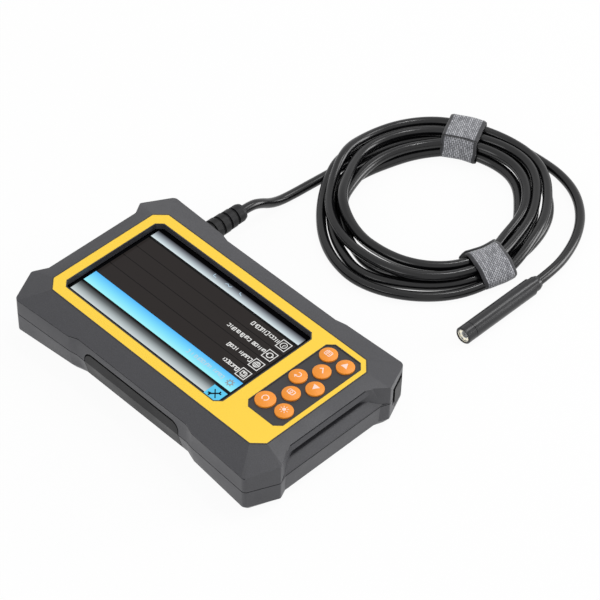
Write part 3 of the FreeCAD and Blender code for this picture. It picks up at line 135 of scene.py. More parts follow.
def coil_stations():
    """(degrees travelled, radius, height) of the cable's line, in millimetres."""
    stations = [(COIL_START - place, radius, LOW) for place, radius in ENTRY]
    for turn, (radii, heights) in enumerate(TURNS):
        for place, radius, height in zip(PLACES, radii, heights):
            stations.append((360 * turn + COIL_START - place, radius, height))
    stations.append((360 * (len(TURNS) - 1) + COIL_START - COIL_END, COIL_END_RADIUS, LOW))
    return stations


def smooth_between(stations, travelled):
    """Radius and height at a place between stations, on a curve with no corners."""
    here = max(i for i, station in enumerate(stations[:-1]) if station[0] <= travelled + 1e-9)
    p1, p2 = stations[here], stations[here + 1]
    p0, p3 = stations[max(here - 1, 0)], stations[min(here + 2, len(stations) - 1)]
    run = p2[0] - p1[0]
    share = (travelled - p1[0]) / run
    from_start = 2 * share ** 3 - 3 * share ** 2 + 1
    from_leave = share ** 3 - 2 * share ** 2 + share
    from_end = 3 * share ** 2 - 2 * share ** 3
    from_reach = share ** 3 - share ** 2
    values = []
    for k in (1, 2):
        leave = (p2[k] - p0[k]) / max(p2[0] - p0[0], 1e-9) * run
        reach = (p3[k] - p1[k]) / max(p3[0] - p1[0], 1e-9) * run
        values.append(from_start * p1[k] + from_leave * leave + from_end * p2[k] + from_reach * reach)
    return values


def coil_points():
    """The centre line of the coil's turns, between the lead's last point and the tail's first."""
    stations = coil_stations()
    total = stations[-1][0]
    steps = round(total / 360 * POINTS_PER_TURN)
    wider = 1 + (1 - math.cos(math.radians(total / steps))) / 4  # the spline runs this much inside its points
    middle = Vector((COIL_CENTRE.x, COIL_CENTRE.y, 0))
    points = []
    for step in range(1, steps):
        travelled = total * step / steps
        radius, height = smooth_between(stations, travelled)
        angle = COIL_START - travelled
        for strap in (FAR_STRAP, NEAR_STRAP):
            away = (angle - strap + 180) % 360 - 180
            height += STRAP_LIFT * math.exp(-(away / STRAP_LIFT_WIDTH) ** 2)
        for turn, place, rise, width in HUMPS:
            height += rise * math.exp(-((angle + 360 * turn - place) / width) ** 2)
        way = math.radians(angle)
        spot = Vector((math.cos(way), math.sin(way), 0)) * radius * wider
        points.append(middle + (spot + Vector((0, 0, height))) * MM)
    return points


def make_cable():
    """One spline from the strain relief through the coil to the camera head."""
    points = [CABLE_EXIT] + [Vector(p) * MM for p in LEAD_ROUTE] + coil_points()
    points += [Vector(p) * MM for p in TAIL_ROUTE] + [HEAD_REAR]
    curve = bpy.data.curves.new("cable", "CURVE")
    curve.dimensions = "3D"
    spline = curve.splines.new("NURBS")
    spline.points.add(len(points) - 1)
    for point, place in zip(spline.points, points):
        point.co, point.radius = (*place, 1), CABLE_RADIUS
    spline.order_u = 3
    spline.use_endpoint_u = True
    spline.resolution_u = 6
    curve.bevel_depth, curve.bevel_resolution = 1.0, 6  # times each point's radius
    curve.use_fill_caps = True
    cable = bpy.data.objects.new("cable", curve)
    SCENE.collection.objects.link(cable)
    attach(cable, "case")
    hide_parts("cable_lead", "cable_coil", "cable_tail")
    return cable


def line_length(curve_object):
    """The length of a curve's own line."""
    bare = curve_object.data.copy()
    bare.bevel_depth = 0
    probe = bpy.data.objects.new("probe", bare)
    mesh = bpy.data.meshes.new_from_object(probe)
    ends = [edge.vertices for edge in mesh.edges]
    total = sum((mesh.vertices[a].co - mesh.vertices[b].co).length for a, b in ends)
    bpy.data.meshes.remove(mesh)
    bpy.data.objects.remove(probe)
    bpy.data.curves.remove(bare)
    return total


cable = make_cable()

# ---------------------------------------------------------------- materials

PATCH_SIZE, PATCH_SHARE = 14.0, 0.25  # a finish's soft patches: millimetres across, and how dark they get


def srgb(red, green, blue):
    """A linear colour from 0 to 255 screen values."""
    screen = [value / 255 for value in (red, green, blue)]
    linear = [v / 12.92 if v <= 0.04045 else ((v + 0.055) / 1.055) ** 2.4 for v in screen]
    return (*linear, 1.0)


def shader(name):
    """A new material with its node tree and its main shader."""
    material = bpy.data.materials.new(name)
    material.use_nodes = True
    tree = material.node_tree
    return material, tree, tree.nodes["Principled BSDF"]


def set_inputs(node, values):
    """Sets a node's own sockets to constant values."""
    for socket, value in values.items():
        node.inputs[socket].default_value = value


def noise(tree, size, detail=3.0):
    """Noise in object space, whose features are about that many millimetres across."""
    node = tree.nodes.new("ShaderNodeTexNoise")
    set_inputs(node, {"Scale": 1 / MM / size, "Detail": detail})
    tree.links.new(tree.nodes.new("ShaderNodeTexCoord").outputs["Object"], node.inputs["Vector"])
    return node.outputs["Fac"]


def spread(tree, value, low, high, start=0.3, end=0.7):
    """Maps a value between start and end to a range."""
    node = tree.nodes.new("ShaderNodeMapRange")
    set_inputs(node, {"From Min": start, "From Max": end, "To Min": low, "To Max": high})
    tree.links.new(value, node.inputs["Value"])
    return node.outputs["Result"]


def blend_colours(tree, value, first, second):
    """A colour between two, by a 0 to 1 value."""
    node = tree.nodes.new("ShaderNodeMix")
    node.data_type = "RGBA"
    colours = [socket for socket in node.inputs if socket.type == "RGBA"]
    for socket, colour in zip(colours, (first, second)):
        if isinstance(colour, bpy.types.NodeSocket):
            tree.links.new(colour, socket)
        else:
            socket.default_value = colour
    tree.links.new(value, node.inputs["Factor"])
    return [socket for socket in node.outputs if socket.type == "RGBA"][0]


def bump(tree, main, height, distance, strength=1.0):
    """Relief of that many millimetres."""
    node = tree.nodes.new("ShaderNodeBump")
    set_inputs(node, {"Distance": distance * MM, "Strength": strength})
    tree.links.new(height, node.inputs["Height"])
    tree.links.new(node.outputs["Normal"], main.inputs["Normal"])


def tinted(colour, factor):
    """A colour made lighter or darker."""
    return tuple(min(1.0, c * factor) for c in colour[:3]) + (1.0,)


def finish_of(name, colour, rough, grain=0.4, relief=0.01, shade=0.15, **sockets):
    """A moulded, coated or metal finish: fine grain, soft patches, and roughness that follows them."""
    material, tree, main = shader(name)
    fine, broad = noise(tree, grain), noise(tree, PATCH_SIZE, 2.0)
    dark, light = tinted(colour, 1 - shade), tinted(colour, 1 + shade)
    grained = blend_colours(tree, spread(tree, fine, 0.0, 1.0), dark, light)
    patched = blend_colours(tree, spread(tree, broad, 0.0, PATCH_SHARE), grained, dark)
    tree.links.new(patched, main.inputs["Base Color"])
    tree.links.new(spread(tree, broad, rough[0], rough[1]), main.inputs["Roughness"])
    bump(tree, main, fine, relief)
    set_inputs(main, {socket.replace("_", " "): value for socket, value in sockets.items()})
    return material


LED_COLOUR, RING_COLOUR = srgb(250, 240, 212), srgb(236, 234, 222)
FINISHES = {
    "case_charcoal": dict(colour=srgb(57, 57, 61), rough=(0.36, 0.46), grain=0.45, relief=0.02, shade=0.22),
    "overlay_yellow": dict(colour=srgb(253, 210, 59), rough=(0.42, 0.5), grain=0.5, relief=0.004, shade=0.03),
    "key_plate_grey": dict(colour=srgb(41, 40, 43), rough=(0.45, 0.55), shade=0.2),
    "key_orange": dict(colour=srgb(245, 149, 40), rough=(0.42, 0.5), grain=0.5, relief=0.006, shade=0.05),
    "key_print": dict(colour=srgb(255, 222, 208), rough=(0.45, 0.55), grain=0.3, relief=0.003, shade=0.02),
    "silicone_grey": dict(colour=srgb(150, 150, 152), rough=(0.6, 0.7), shade=0.05),
    "board_green": dict(colour=srgb(20, 90, 50), rough=(0.3, 0.4), shade=0.1),
    "glass_dark": dict(colour=srgb(5, 5, 7), rough=(0.05, 0.09), grain=2.0, relief=0.0005, shade=0.2,
                       Specular_IOR_Level=0.1),
    "backlight_white": dict(colour=srgb(215, 220, 225), rough=(0.5, 0.6), shade=0.03),
    "foam_black": dict(colour=srgb(34, 34, 35), rough=(0.85, 0.95), grain=0.3, relief=0.05, shade=0.3),
    "steel_plain": dict(colour=srgb(190, 190, 194), rough=(0.22, 0.34), grain=0.3, relief=0.002, shade=0.06,
                        Metallic=1.0),
    "steel_black": dict(colour=srgb(60, 60, 63), rough=(0.28, 0.4), grain=0.3, relief=0.004, shade=0.1,
                        Metallic=1.0),
    "chip_black": dict(colour=srgb(38, 38, 40), rough=(0.5, 0.6), grain=0.2, relief=0.006, shade=0.2),
    "rubber_black": dict(colour=srgb(15, 15, 17), rough=(0.42, 0.54), grain=0.35, relief=0.015, shade=0.2,
                         Specular_IOR_Level=0.3),
    "card_blue": dict(colour=srgb(40, 60, 110), rough=(0.35, 0.45), shade=0.05),
    "battery_wrap": dict(colour=srgb(60, 90, 150), rough=(0.25, 0.4), grain=3.0, relief=0.02, shade=0.06),
    "connector_white": dict(colour=srgb(228, 222, 208), rough=(0.45, 0.55), shade=0.04),
    "cable_black": dict(colour=srgb(12, 12, 14), rough=(0.19, 0.25), grain=0.9, relief=0.002, shade=0.15,
                        Specular_IOR_Level=0.42),
    "head_anodised": dict(colour=srgb(20, 20, 23), rough=(0.23, 0.29), grain=0.25, relief=0.003, shade=0.12),
    # led_cream and led_ring glow a little: painted light that brightens the LEDs and their board behind the
    # window
    "led_cream": dict(colour=LED_COLOUR, rough=(0.25, 0.35), grain=0.3, relief=0.003, shade=0.04,
                      Emission_Color=LED_COLOUR, Emission_Strength=0.5),
    "led_ring": dict(colour=RING_COLOUR, rough=(0.4, 0.5), grain=0.3, relief=0.003, shade=0.04,
                     Emission_Color=RING_COLOUR, Emission_Strength=0.45),
    "lens_black": dict(colour=srgb(28, 28, 30), rough=(0.2, 0.3), grain=0.2, relief=0.002, shade=0.2),
    "sensor_grey": dict(colour=srgb(86, 92, 104), rough=(0.2, 0.3), shade=0.1),
}


def clear_window():
    """A thin polished window, which lets what is behind it show."""
    material, tree, main = shader("window_clear")
    set_inputs(main, {"Transmission Weight": 1.0, "IOR": 1.45, "Base Color": (0.95, 0.96, 0.97, 1.0)})
    tree.links.new(spread(tree, noise(tree, 1.5), 0.01, 0.03), main.inputs["Roughness"])
    return material


STRAP_WIDTH = 16.5
TAPE_DRIFT = (0.05, 0.05, 0.0)  # millimetres that the weave wanders
EDGE_SHADE_START, EDGE_SHADE_FULL = 1.5, 1.2  # millimetres from the tape's edge, where the painted shade along it starts and where it is full
WEAVE = {
    "Scale": 1.0, "Brick Width": 1.7, "Row Height": 0.85, "Mortar Size": 0.16, "Mortar Smooth": 0.6,
    "Bias": 0.0, "Color1": srgb(186, 187, 192), "Color2": srgb(134, 135, 140), "Mortar": srgb(38, 38, 42),
}


def wandering_place(tree, place):
    """A place on the tape, moved a little to and fro."""
    drift = tree.nodes.new("ShaderNodeTexNoise")
    set_inputs(drift, {"Scale": 0.9, "Detail": 2.0})
    tree.links.new(place, drift.inputs["Vector"])
    shift = tree.nodes.new("ShaderNodeVectorMath")
    shift.operation = "MULTIPLY_ADD"
    shift.inputs[1].default_value = TAPE_DRIFT
    tree.links.new(drift.outputs["Color"], shift.inputs[0])
    tree.links.new(place, shift.inputs[2])
    return shift.outputs[0]


def painted_edge_shade(tree, place):
    """Painted shade on the tape: 1 along its two long edges and 0 between them."""
    parts = tree.nodes.new("ShaderNodeSeparateXYZ")
    tree.links.new(place, parts.inputs[0])
    across = tree.nodes.new("ShaderNodeMath")
    across.operation = "ABSOLUTE"
    tree.links.new(parts.outputs["Y"], across.inputs[0])
    start, full = STRAP_WIDTH / 2 - EDGE_SHADE_START, STRAP_WIDTH / 2 - EDGE_SHADE_FULL
    return spread(tree, across.outputs[0], 0.0, 1.0, start, full)


def woven():
    """Grey woven tape: pale floats in rows over a dark ground, drawn in millimetres of tape, with painted
    shade along its long edges.
    """
    material, tree, main = shader("strap_grey")
    tape_map = tree.nodes.new("ShaderNodeUVMap")
    tape_map.uv_map = "tape"
    place = tape_map.outputs["UV"]
    weave = tree.nodes.new("ShaderNodeTexBrick")
    weave.offset, weave.squash = 0.5, 1.0
    set_inputs(weave, WEAVE)
    tree.links.new(wandering_place(tree, place), weave.inputs["Vector"])
    # the long edges are painted dark grey: painted shade where the tape's thickness shades it
    body = blend_colours(tree, painted_edge_shade(tree, place), weave.outputs["Color"], srgb(44, 44, 47))
    worn = spread(tree, noise(tree, 5.0, 2.0), 0.0, 0.1)
    tree.links.new(blend_colours(tree, worn, body, srgb(70, 70, 74)), main.inputs["Base Color"])
    set_inputs(main, {"Roughness": 0.85, "Sheen Weight": 0.3})
    bump(tree, main, weave.outputs["Fac"], 0.12, -0.6)
    return material


def dress(thing, material):
    """Gives a piece one material all over."""
    thing.data.materials.clear()
    thing.data.materials.append(material)


MATERIALS = {name: finish_of(name, **look) for name, look in FINISHES.items()}
MATERIALS["window_clear"] = clear_window()
MATERIALS["strap_grey"] = woven()

for part in frame["record"]["subparts"]:
    # The LED board's front shows as a pale ring round the lens, with a painted glow.
    look = "led_ring" if part["node"] == "led_board" else part["material_slot"]
    dress(NODES[part["node"]], MATERIALS[look])
dress(cable, MATERIALS["cable_black"])

# ---------------------------------------------------------------- smooth shading of the moulded parts

SMOOTH_NODES = ["upper_shell", "lower_shell", "front_overlay", "key_plate", "side_port_cover",
                "corner_port_cover", "strain_relief", "camera_front_ring", "camera_housing",
                "camera_rear_collar"]
SMOOTH_LIMIT = 13  # faces that meet at fewer degrees shade as one
SAME_PLACE = 0.005 * MM


def smooth_by_angle(limit):
    """A node group that joins a solid's faces and shades them smooth, except across sharp edges."""
    tree = bpy.data.node_groups.new("smooth_by_angle", "GeometryNodeTree")
    for way in ("INPUT", "OUTPUT"):
        tree.interface.new_socket("Geometry", in_out=way, socket_type="NodeSocketGeometry")
    start, end = tree.nodes.new("NodeGroupInput"), tree.nodes.new("NodeGroupOutput")
    weld = tree.nodes.new("GeometryNodeMergeByDistance")
    weld.inputs["Distance"].default_value = SAME_PLACE
    bare = tree.nodes.new("GeometryNodeRemoveAttribute")
    bare.inputs["Name"].default_value = "custom_normal"
    faces = tree.nodes.new("GeometryNodeSetShadeSmooth")
    faces.domain = "FACE"
    edges = tree.nodes.new("GeometryNodeSetShadeSmooth")
    edges.domain = "EDGE"
    angle = tree.nodes.new("GeometryNodeInputMeshEdgeAngle")
    gentle = tree.nodes.new("FunctionNodeCompare")
    gentle.operation = "LESS_THAN"
    gentle.inputs["B"].default_value = math.radians(limit)
    tree.links.new(angle.outputs["Unsigned Angle"], gentle.inputs["A"])
    tree.links.new(gentle.outputs["Result"], edges.inputs["Shade Smooth"])
    chain = [start, weld, bare, faces, edges, end]
    for a, b in zip(chain, chain[1:]):
        tree.links.new(a.outputs[0], b.inputs[0])
    return tree


smooth_shading = smooth_by_angle(SMOOTH_LIMIT)
for node_name in SMOOTH_NODES:
    modifier = NODES[node_name].modifiers.new("smooth", "NODES")
    modifier.node_group = smooth_shading

# ---------------------------------------------------------------- thin flat pieces

LEAST_MITRE = 0.4  # how far a sharp corner's mitre may reach: half the width over this


def ribbon(points, width, closed=False):
    """Four-cornered faces along a line, mitred at its corners. Points are in millimetres."""
    points = [Vector(p[:2]) for p in points]
    count = len(points)
    sides = []
    for i, point in enumerate(points):
        ways = []
        if closed or i:
            ways.append((point - points[i - 1]).normalized())
        if closed or i < count - 1:
            ways.append((points[(i + 1) % count] - point).normalized())
        normals = [Vector((-way.y, way.x)) for way in ways]
        middle = sum(normals, Vector((0, 0))).normalized()
        reach = width / 2 / max(LEAST_MITRE, middle.dot(normals[0]))
        sides.append((point + middle * reach, point - middle * reach))
    following = sides[1:] + sides[:1] if closed else sides[1:]
    return [[a[0], b[0], b[1], a[1]] for a, b in zip(sides, following)]


def filled(points, rings=3):
    """A filled outline, in rings about its middle, so that it can follow a dome."""
    points = [Vector(p[:2]) for p in points]
    middle = sum(points, Vector((0, 0))) / len(points)
    faces = []
    for ring in range(rings):
        inner, outer = ring / rings, (ring + 1) / rings
        for a, b in zip(points, points[1:] + points[:1]):
            far = [middle.lerp(a, outer), middle.lerp(b, outer)]
            near = [middle.lerp(b, inner), middle.lerp(a, inner)] if ring else [middle.copy()]
            faces.append(far + near)
    return faces


def ring_points(centre, radius, start=0.0, end=360.0, count=28):
    """Points along an arc, or round a whole circle."""
    open_end = end - start < 360
    turns = [math.radians(start + (end - start) * i / count) for i in range(count + open_end)]
    return [(centre[0] + radius * math.cos(t), centre[1] + radius * math.sin(t)) for t in turns]


def box_points(left, low, right, high, cut=0.0):
    """A rectangle, with its corners cut where asked."""
    if not cut:
        return [(left, low), (right, low), (right, high), (left, high)]
    return [(left + cut, low), (right - cut, low), (right, low + cut), (right, high - cut),
            (right - cut, high), (left + cut, high), (left, high - cut), (left, low + cut)]


def directions(count):
    """Evenly spaced directions round a point."""
    return [Vector((math.cos(math.tau * i / count), math.sin(math.tau * i / count))) for i in range(count)]


def piece_of(mesh, name, material):
    """A new piece that takes over a finished mesh."""
    data = bpy.data.meshes.new(name)
    mesh.to_mesh(data)
    mesh.free()
    piece = bpy.data.objects.new(name, data)
    SCENE.collection.objects.link(piece)
    dress(piece, material)
    return piece


def thin_piece(name, faces, base, thickness, material, body="case"):
    """A thin closed piece over flat faces. Base gives the height of its underside at a point. Millimetres."""
    mesh = bmesh.new()
    corners = {}
    for face in faces:
        keys = list(dict.fromkeys((round(p[0], 3), round(p[1], 3)) for p in face))
        if len(keys) < 3:
            continue
        for key in keys:
            if key not in corners:
                corners[key] = mesh.verts.new((key[0], key[1], 0))
        outline = [corners[key] for key in keys]
        if mesh.faces.get(outline) is None:
            mesh.faces.new(outline)
    bmesh.ops.recalc_face_normals(mesh, faces=mesh.faces)
    lifted = bmesh.ops.extrude_face_region(mesh, geom=list(mesh.faces))
    tops = {item for item in lifted["geom"] if isinstance(item, bmesh.types.BMVert)}
    for vertex in mesh.verts:
        vertex.co.z = base(vertex.co.x, vertex.co.y) + (thickness if vertex in tops else 0.0)
        vertex.co *= MM
    bmesh.ops.recalc_face_normals(mesh, faces=mesh.faces)
    piece = piece_of(mesh, name, material)
    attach(piece, body)
    return piece


# ---------------------------------------------------------------- dark outlines of the yellow overlay

UPWARD, FLAT = 0.99, 0.02 * MM  # a top face's least upward share, and how level it is
OUTLINE_WIDTH, OUTLINE_THICKNESS = 0.5, 0.1
WINDOW_EDGE_WIDTH, WINDOW_EDGE_DEPTH = 0.3, 0.5


def top_loops(node_name):
    """The closed outlines of a node's flat top face, and the height of that face, in millimetres."""
    mesh = bmesh.new()
    mesh.from_mesh(NODES[node_name].data)
    bmesh.ops.remove_doubles(mesh, verts=mesh.verts, dist=SAME_PLACE)
    top = max(v.co.z for v in mesh.verts)
    faces = {f for f in mesh.faces if f.normal.z > UPWARD and all(top - v.co.z < FLAT for v in f.verts)}
    rim = [e for e in mesh.edges if sum(f in faces for f in e.link_faces) == 1]
    follow = {}
    for edge in rim:
        a, b = edge.verts
        follow.setdefault(a.index, []).append(b.index)
        follow.setdefault(b.index, []).append(a.index)
    places = {v.index: (v.co.x / MM, v.co.y / MM) for v in mesh.verts}
    loops, seen = [], set()
    for start in follow:
        if start in seen:
            continue
        loop, here = [], start
        while here not in seen:
            seen.add(here)
            loop.append(places[here])
            here = next((n for n in follow[here] if n not in seen), here)
        loops.append(loop)
    mesh.free()
    return loops, top / MM


def length_of(loop):
    """How far a loop reaches along the case."""
    return max(p[0] for p in loop) - min(p[0] for p in loop)


outlines, overlay_top = top_loops("front_overlay")
outline_faces = [face for loop in outlines for face in ribbon(loop, OUTLINE_WIDTH, closed=True)]
thin_piece("overlay_outline", outline_faces, lambda x, y: overlay_top - OUTLINE_THICKNESS / 2,
           OUTLINE_THICKNESS, MATERIALS["chip_black"])
window_loop = sorted(outlines, key=length_of)[-2]  # the longest is the overlay's own outline
thin_piece("window_edge", ribbon(window_loop, WINDOW_EDGE_WIDTH, closed=True),
           lambda x, y: overlay_top - WINDOW_EDGE_DEPTH, WINDOW_EDGE_DEPTH, MATERIALS["chip_black"])

# ---------------------------------------------------------------- woven straps

STRAP_THICKNESS, STRAP_CLEARANCE = 1.0, 0.15
STRAPS = {"strap_far": FAR_STRAP, "strap_near": NEAR_STRAP}
STRAP_FLAPS = {"strap_far": (0.16, 0.50), "strap_near": (0.0, 0.13)}  # the loose end, as shares of the loop
FLAP_GAP = 0.03
CIRCLE_POINTS, LOOP_POINTS = 72, 120
TAPE_COLUMNS, TAPE_EDGE = 16, 0.5  # faces across the tape, and how wide its rounded edge is
EDGE_LEAST = 0.04  # the square of the share of the thickness that is left at the very edge
PADDING = 0.06  # how much the tape's outer side swells and sinks
LEAST_COIL_RADIUS = 30.0


def strap_circles(strap):
    """(outward, up) of the middle of every strand that a strap holds."""
    at = PLACES.index(strap)
    return [(radii[at], heights[at] + STRAP_LIFT) for radii, heights in TURNS if at < len(radii)]


def bends_left(a, b, c):
    """Whether the way from a over b to c runs straight on or bends left."""
    return (b[0] - a[0]) * (c[1] - a[1]) - (b[1] - a[1]) * (c[0] - a[0]) >= 0


def hull_half(points):
    """Half of the line pulled tight round sorted points."""
    chain = []
    for p in points:
        while len(chain) > 1 and bends_left(chain[-2], chain[-1], p):
            chain.pop()
        chain.append(p)
    return chain[:-1]


def wrap(circles, radius):
    """The outline of a band pulled tight round circles in a plane, evenly divided, from the inner side on."""
    turns = [math.tau * i / CIRCLE_POINTS for i in range(CIRCLE_POINTS)]
    cloud = sorted({(round(r + radius * math.cos(t), 5), round(z + radius * math.sin(t), 5))
                    for r, z in circles for t in turns})
    hull = [Vector(p) for p in hull_half(cloud) + hull_half(cloud[::-1])]
    hull.append(hull[0])
    lengths = [0.0]
    for a, b in zip(hull, hull[1:]):
        lengths.append(lengths[-1] + (b - a).length)
    path = []
    for i in range(LOOP_POINTS):
        want = lengths[-1] * i / LOOP_POINTS
        k = max(j for j in range(len(hull) - 1) if lengths[j] <= want)
        share = (want - lengths[k]) / max(1e-9, lengths[k + 1] - lengths[k])
        path.append(hull[k].lerp(hull[k + 1], share))
    return path, lengths[-1]


def tape_section(here, normal, turn, ragged, seed, lift):
    """(outward, sideways, up, place across the tape) of each point round one section of a tape."""
    points = []
    for side in (1, -1):
        for j in range(TAPE_COLUMNS + 1):
            v = (j / TAPE_COLUMNS - 0.5) * STRAP_WIDTH * -side
            near_edge = max(0.0, abs(v) - (STRAP_WIDTH / 2 - TAPE_EDGE)) / TAPE_EDGE
            deep = side * STRAP_THICKNESS / 2 * math.sqrt(max(EDGE_LEAST, 1 - near_edge * near_edge))
            swell = PADDING * math.sin(3 * turn + v * 0.6 + seed) if side > 0 else 0.0
            spot = here + normal * (deep + lift + swell)
            hollow = (v * v) / (2 * max(LEAST_COIL_RADIUS, spot.x))  # the tape follows the coil's own bend
            points.append((spot.x - hollow, v + ragged * abs(v) / STRAP_WIDTH * 2, spot.y, v))
    return points


def tape_rings(mesh, angle, path, total, start, rows, seed, lift):
    """The rings of points round a tape. A point is (vertex, place along the tape, place across it)."""
    wander = random.Random(seed)
    waves = [(wander.uniform(0.05, 0.16), wander.uniform(2, 7), wander.uniform(0, math.tau))
             for _ in range(3)]  # size, rate and phase of how the long edges waver
    outward = Vector((math.cos(math.radians(angle)), math.sin(math.radians(angle)), 0))
    sideways = Vector((-outward.y, outward.x, 0))
    middle = Vector((COIL_CENTRE.x / MM, COIL_CENTRE.y / MM, 0))
    count = len(path)
    rings = []
    for i in range(rows):
        k = (start + i) % count
        way = (path[(k + 1) % count] - path[k - 1]).normalized()
        turn = (k / count) * math.tau
        ragged = sum(size * math.sin(rate * turn + phase) for size, rate, phase in waves)
        ring = []
        for out, aside, up, v in tape_section(path[k], Vector((-way.y, way.x)), turn, ragged, seed, lift):
            place = middle + outward * out + sideways * aside + Vector((0, 0, up))
            ring.append((mesh.verts.new(place * MM), i * total / count, v))
        rings.append(ring)
    return rings


def tape_face(mesh, sheet, corners, places):
    """One face of a tape, with its corners' places on the tape."""
    face = mesh.faces.new([vertex for vertex, _, _ in corners])
    for loop, place in zip(face.loops, places):
        loop[sheet].uv = place


def tape(name, angle, path, total, first, last, seed, lift=0.0):
    """A length of woven tape along part of a wrapped outline: a closed solid with its edges rounded."""
    count = len(path)
    whole = last - first >= 1.0
    rows = count if whole else round((last - first) * count) + 1
    mesh = bmesh.new()
    sheet = mesh.loops.layers.uv.new("tape")
    rings = tape_rings(mesh, angle, path, total, round(first * count), rows, seed, lift)
    following = rings[1:] + rings[:1] if whole else rings[1:]
    for a, b in zip(rings, following):
        closing = b is rings[0]
        for j in range(len(a)):
            beside = (j + 1) % len(a)
            corners = [a[j], b[j], b[beside], a[beside]]
            places = [(total if closing and u == 0 else u, v) for _, u, v in corners]
            tape_face(mesh, sheet, corners, places)
    if not whole:
        for ring in (rings[0], rings[-1]):
            tape_face(mesh, sheet, ring, [(u, STRAP_WIDTH / 2) for _, u, _ in ring])
    bmesh.ops.recalc_face_normals(mesh, faces=mesh.faces)
    for face in mesh.faces:
        face.smooth = True
    piece = piece_of(mesh, name, MATERIALS["strap_grey"])
    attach(piece, "case")
    return piece


STRAP_PIECES = []
for seed, (name, angle) in enumerate(STRAPS.items()):
    path, total = wrap(strap_circles(angle), CABLE_RADIUS / MM + STRAP_THICKNESS / 2 + STRAP_CLEARANCE)
    band = tape(name, angle, path, total, 0.0, 1.0, seed)
    flap = tape(name + "_end", angle, path, total, *STRAP_FLAPS[name], seed + 7, STRAP_THICKNESS + FLAP_GAP)
    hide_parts(name.replace("strap", "cable_strap"))
    STRAP_PIECES += [band, flap]

# ---------------------------------------------------------------- the lit screen

GLASS_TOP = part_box("display_glass")[1].z / MM
GLASS_GAP = 0.01
LAYER = 0.05  # each layer of the picture stands this much above the one below


def level(number):
    """The height of the underside of a layer of the screen's picture."""
    return lambda x, y: GLASS_TOP + LAYER * (number - 1) + GLASS_GAP


def glowing(name, stops):
    """A patch that glows behind polished glass, with the socket that picks its colour from the stops."""
    material, tree, main = shader(name)
    set_inputs(main, {"Roughness": 0.12, "Specular IOR Level": 0.06, "Emission Strength": 1.0,
                      "Base Color": (0.003, 0.003, 0.003, 1)})
    ramp = tree.nodes.new("ShaderNodeValToRGB")
    while len(ramp.color_ramp.elements) < len(stops):
        ramp.color_ramp.elements.new(0.5)
    for element, (position, colour) in zip(ramp.color_ramp.elements, stops):
        element.position, element.color = position, colour
    tree.links.new(ramp.outputs["Color"], main.inputs["Emission Color"])
    return material, tree, ramp.inputs["Fac"]


def lit(name, red, green, blue):
    """A patch that glows in one colour, a little unevenly."""
    colour = srgb(red, green, blue)
    material, tree, choice = glowing(name, [(0.0, tinted(colour, 0.94)), (1.0, colour)])
    tree.links.new(noise(tree, 6.0, 1.0), choice)
    return material


def lit_run(name, start, end, stops):
    """A patch that glows in a run of colours between two heights on the screen."""
    material, tree, choice = glowing(name, [(share, srgb(*colour)) for share, colour in stops])
    place = tree.nodes.new("ShaderNodeTexCoord").outputs["Object"]
    split = tree.nodes.new("ShaderNodeSeparateXYZ")
    tree.links.new(place, split.inputs[0])
    tree.links.new(spread(tree, split.outputs["Y"], 0.0, 1.0, start * MM, end * MM), choice)
    return material


SCREEN_LEFT, SCREEN_LOW, SCREEN_RIGHT, SCREEN_HIGH = -57.6, -25.6, 32.0, 25.4
TAB_LEFT, TAB_HIGH = 24.5, -18.9
UPPER_BAR, CHOICE_BAR, LOWER_BAR = (-24.6, -18.3), (-17.3, -10.3), (20.9, 25.4)
ROW_EDGES, ROW_LINE = (-10.3, -2.6, 4.9, 12.3, 19.8), 0.32
GREY_RUN = [(0.0, (205, 214, 216)), (0.3, (176, 186, 188)), (0.7, (100, 106, 108)), (1.0, (32, 32, 33))]
BLUE_RUN = [(0.0, (160, 244, 250)), (0.45, (128, 224, 252)), (1.0, (84, 186, 252))]
SILVER_RUN = [(0.0, (220, 234, 238)), (0.3, (188, 200, 206)), (0.7, (120, 126, 134)), (1.0, (36, 36, 42))]


def screen_patch(low, high, left=SCREEN_LEFT, right=SCREEN_RIGHT):
    """A rectangle of the screen's picture."""
    return box_points(left, low, right, high)


ROW_PATCHES = [screen_patch(low + ROW_LINE / 2, high - ROW_LINE / 2)
               for low, high in zip(ROW_EDGES, ROW_EDGES[1:])]
SCREEN = {  # piece: its layer, its patches and its material
    "screen_ground": (1, [screen_patch(SCREEN_LOW, SCREEN_HIGH)], lit("screen_black", 9, 9, 10)),
    "screen_bar_upper": (2, [screen_patch(*UPPER_BAR, right=TAB_LEFT)],
                         lit_run("screen_grey", *UPPER_BAR, GREY_RUN)),
    "screen_tab": (2, [screen_patch(SCREEN_LOW, TAB_HIGH, left=TAB_LEFT)], lit("screen_cyan", 96, 205, 244)),
    "screen_choice": (2, [screen_patch(*CHOICE_BAR)], lit_run("screen_blue", *CHOICE_BAR, BLUE_RUN)),
    "screen_rows": (2, ROW_PATCHES, lit("screen_dark", 43, 39, 38)),
    "screen_bar_lower": (2, [screen_patch(*LOWER_BAR)], lit_run("screen_silver", *LOWER_BAR, SILVER_RUN)),
}
for name, (number, patches, material) in SCREEN.items():
    thin_piece(name, patches, level(number), LAYER, material)

ICON_PLACE, ICON_REACH = 28.2, 2.45
ENTRY_START, ENTRY_HEIGHT = 25.0, 2.1
ROWS = {-6.5: 8.9, 0.9: 13.3, 8.4: 21.6, 16.4: 14.8}  # height of a row on the screen: how long its entry is
MARK_LINE, MARK_GAP, WORD_GAP, WORD_END_CHANCE = 0.34, 0.52, 1.1, 0.16


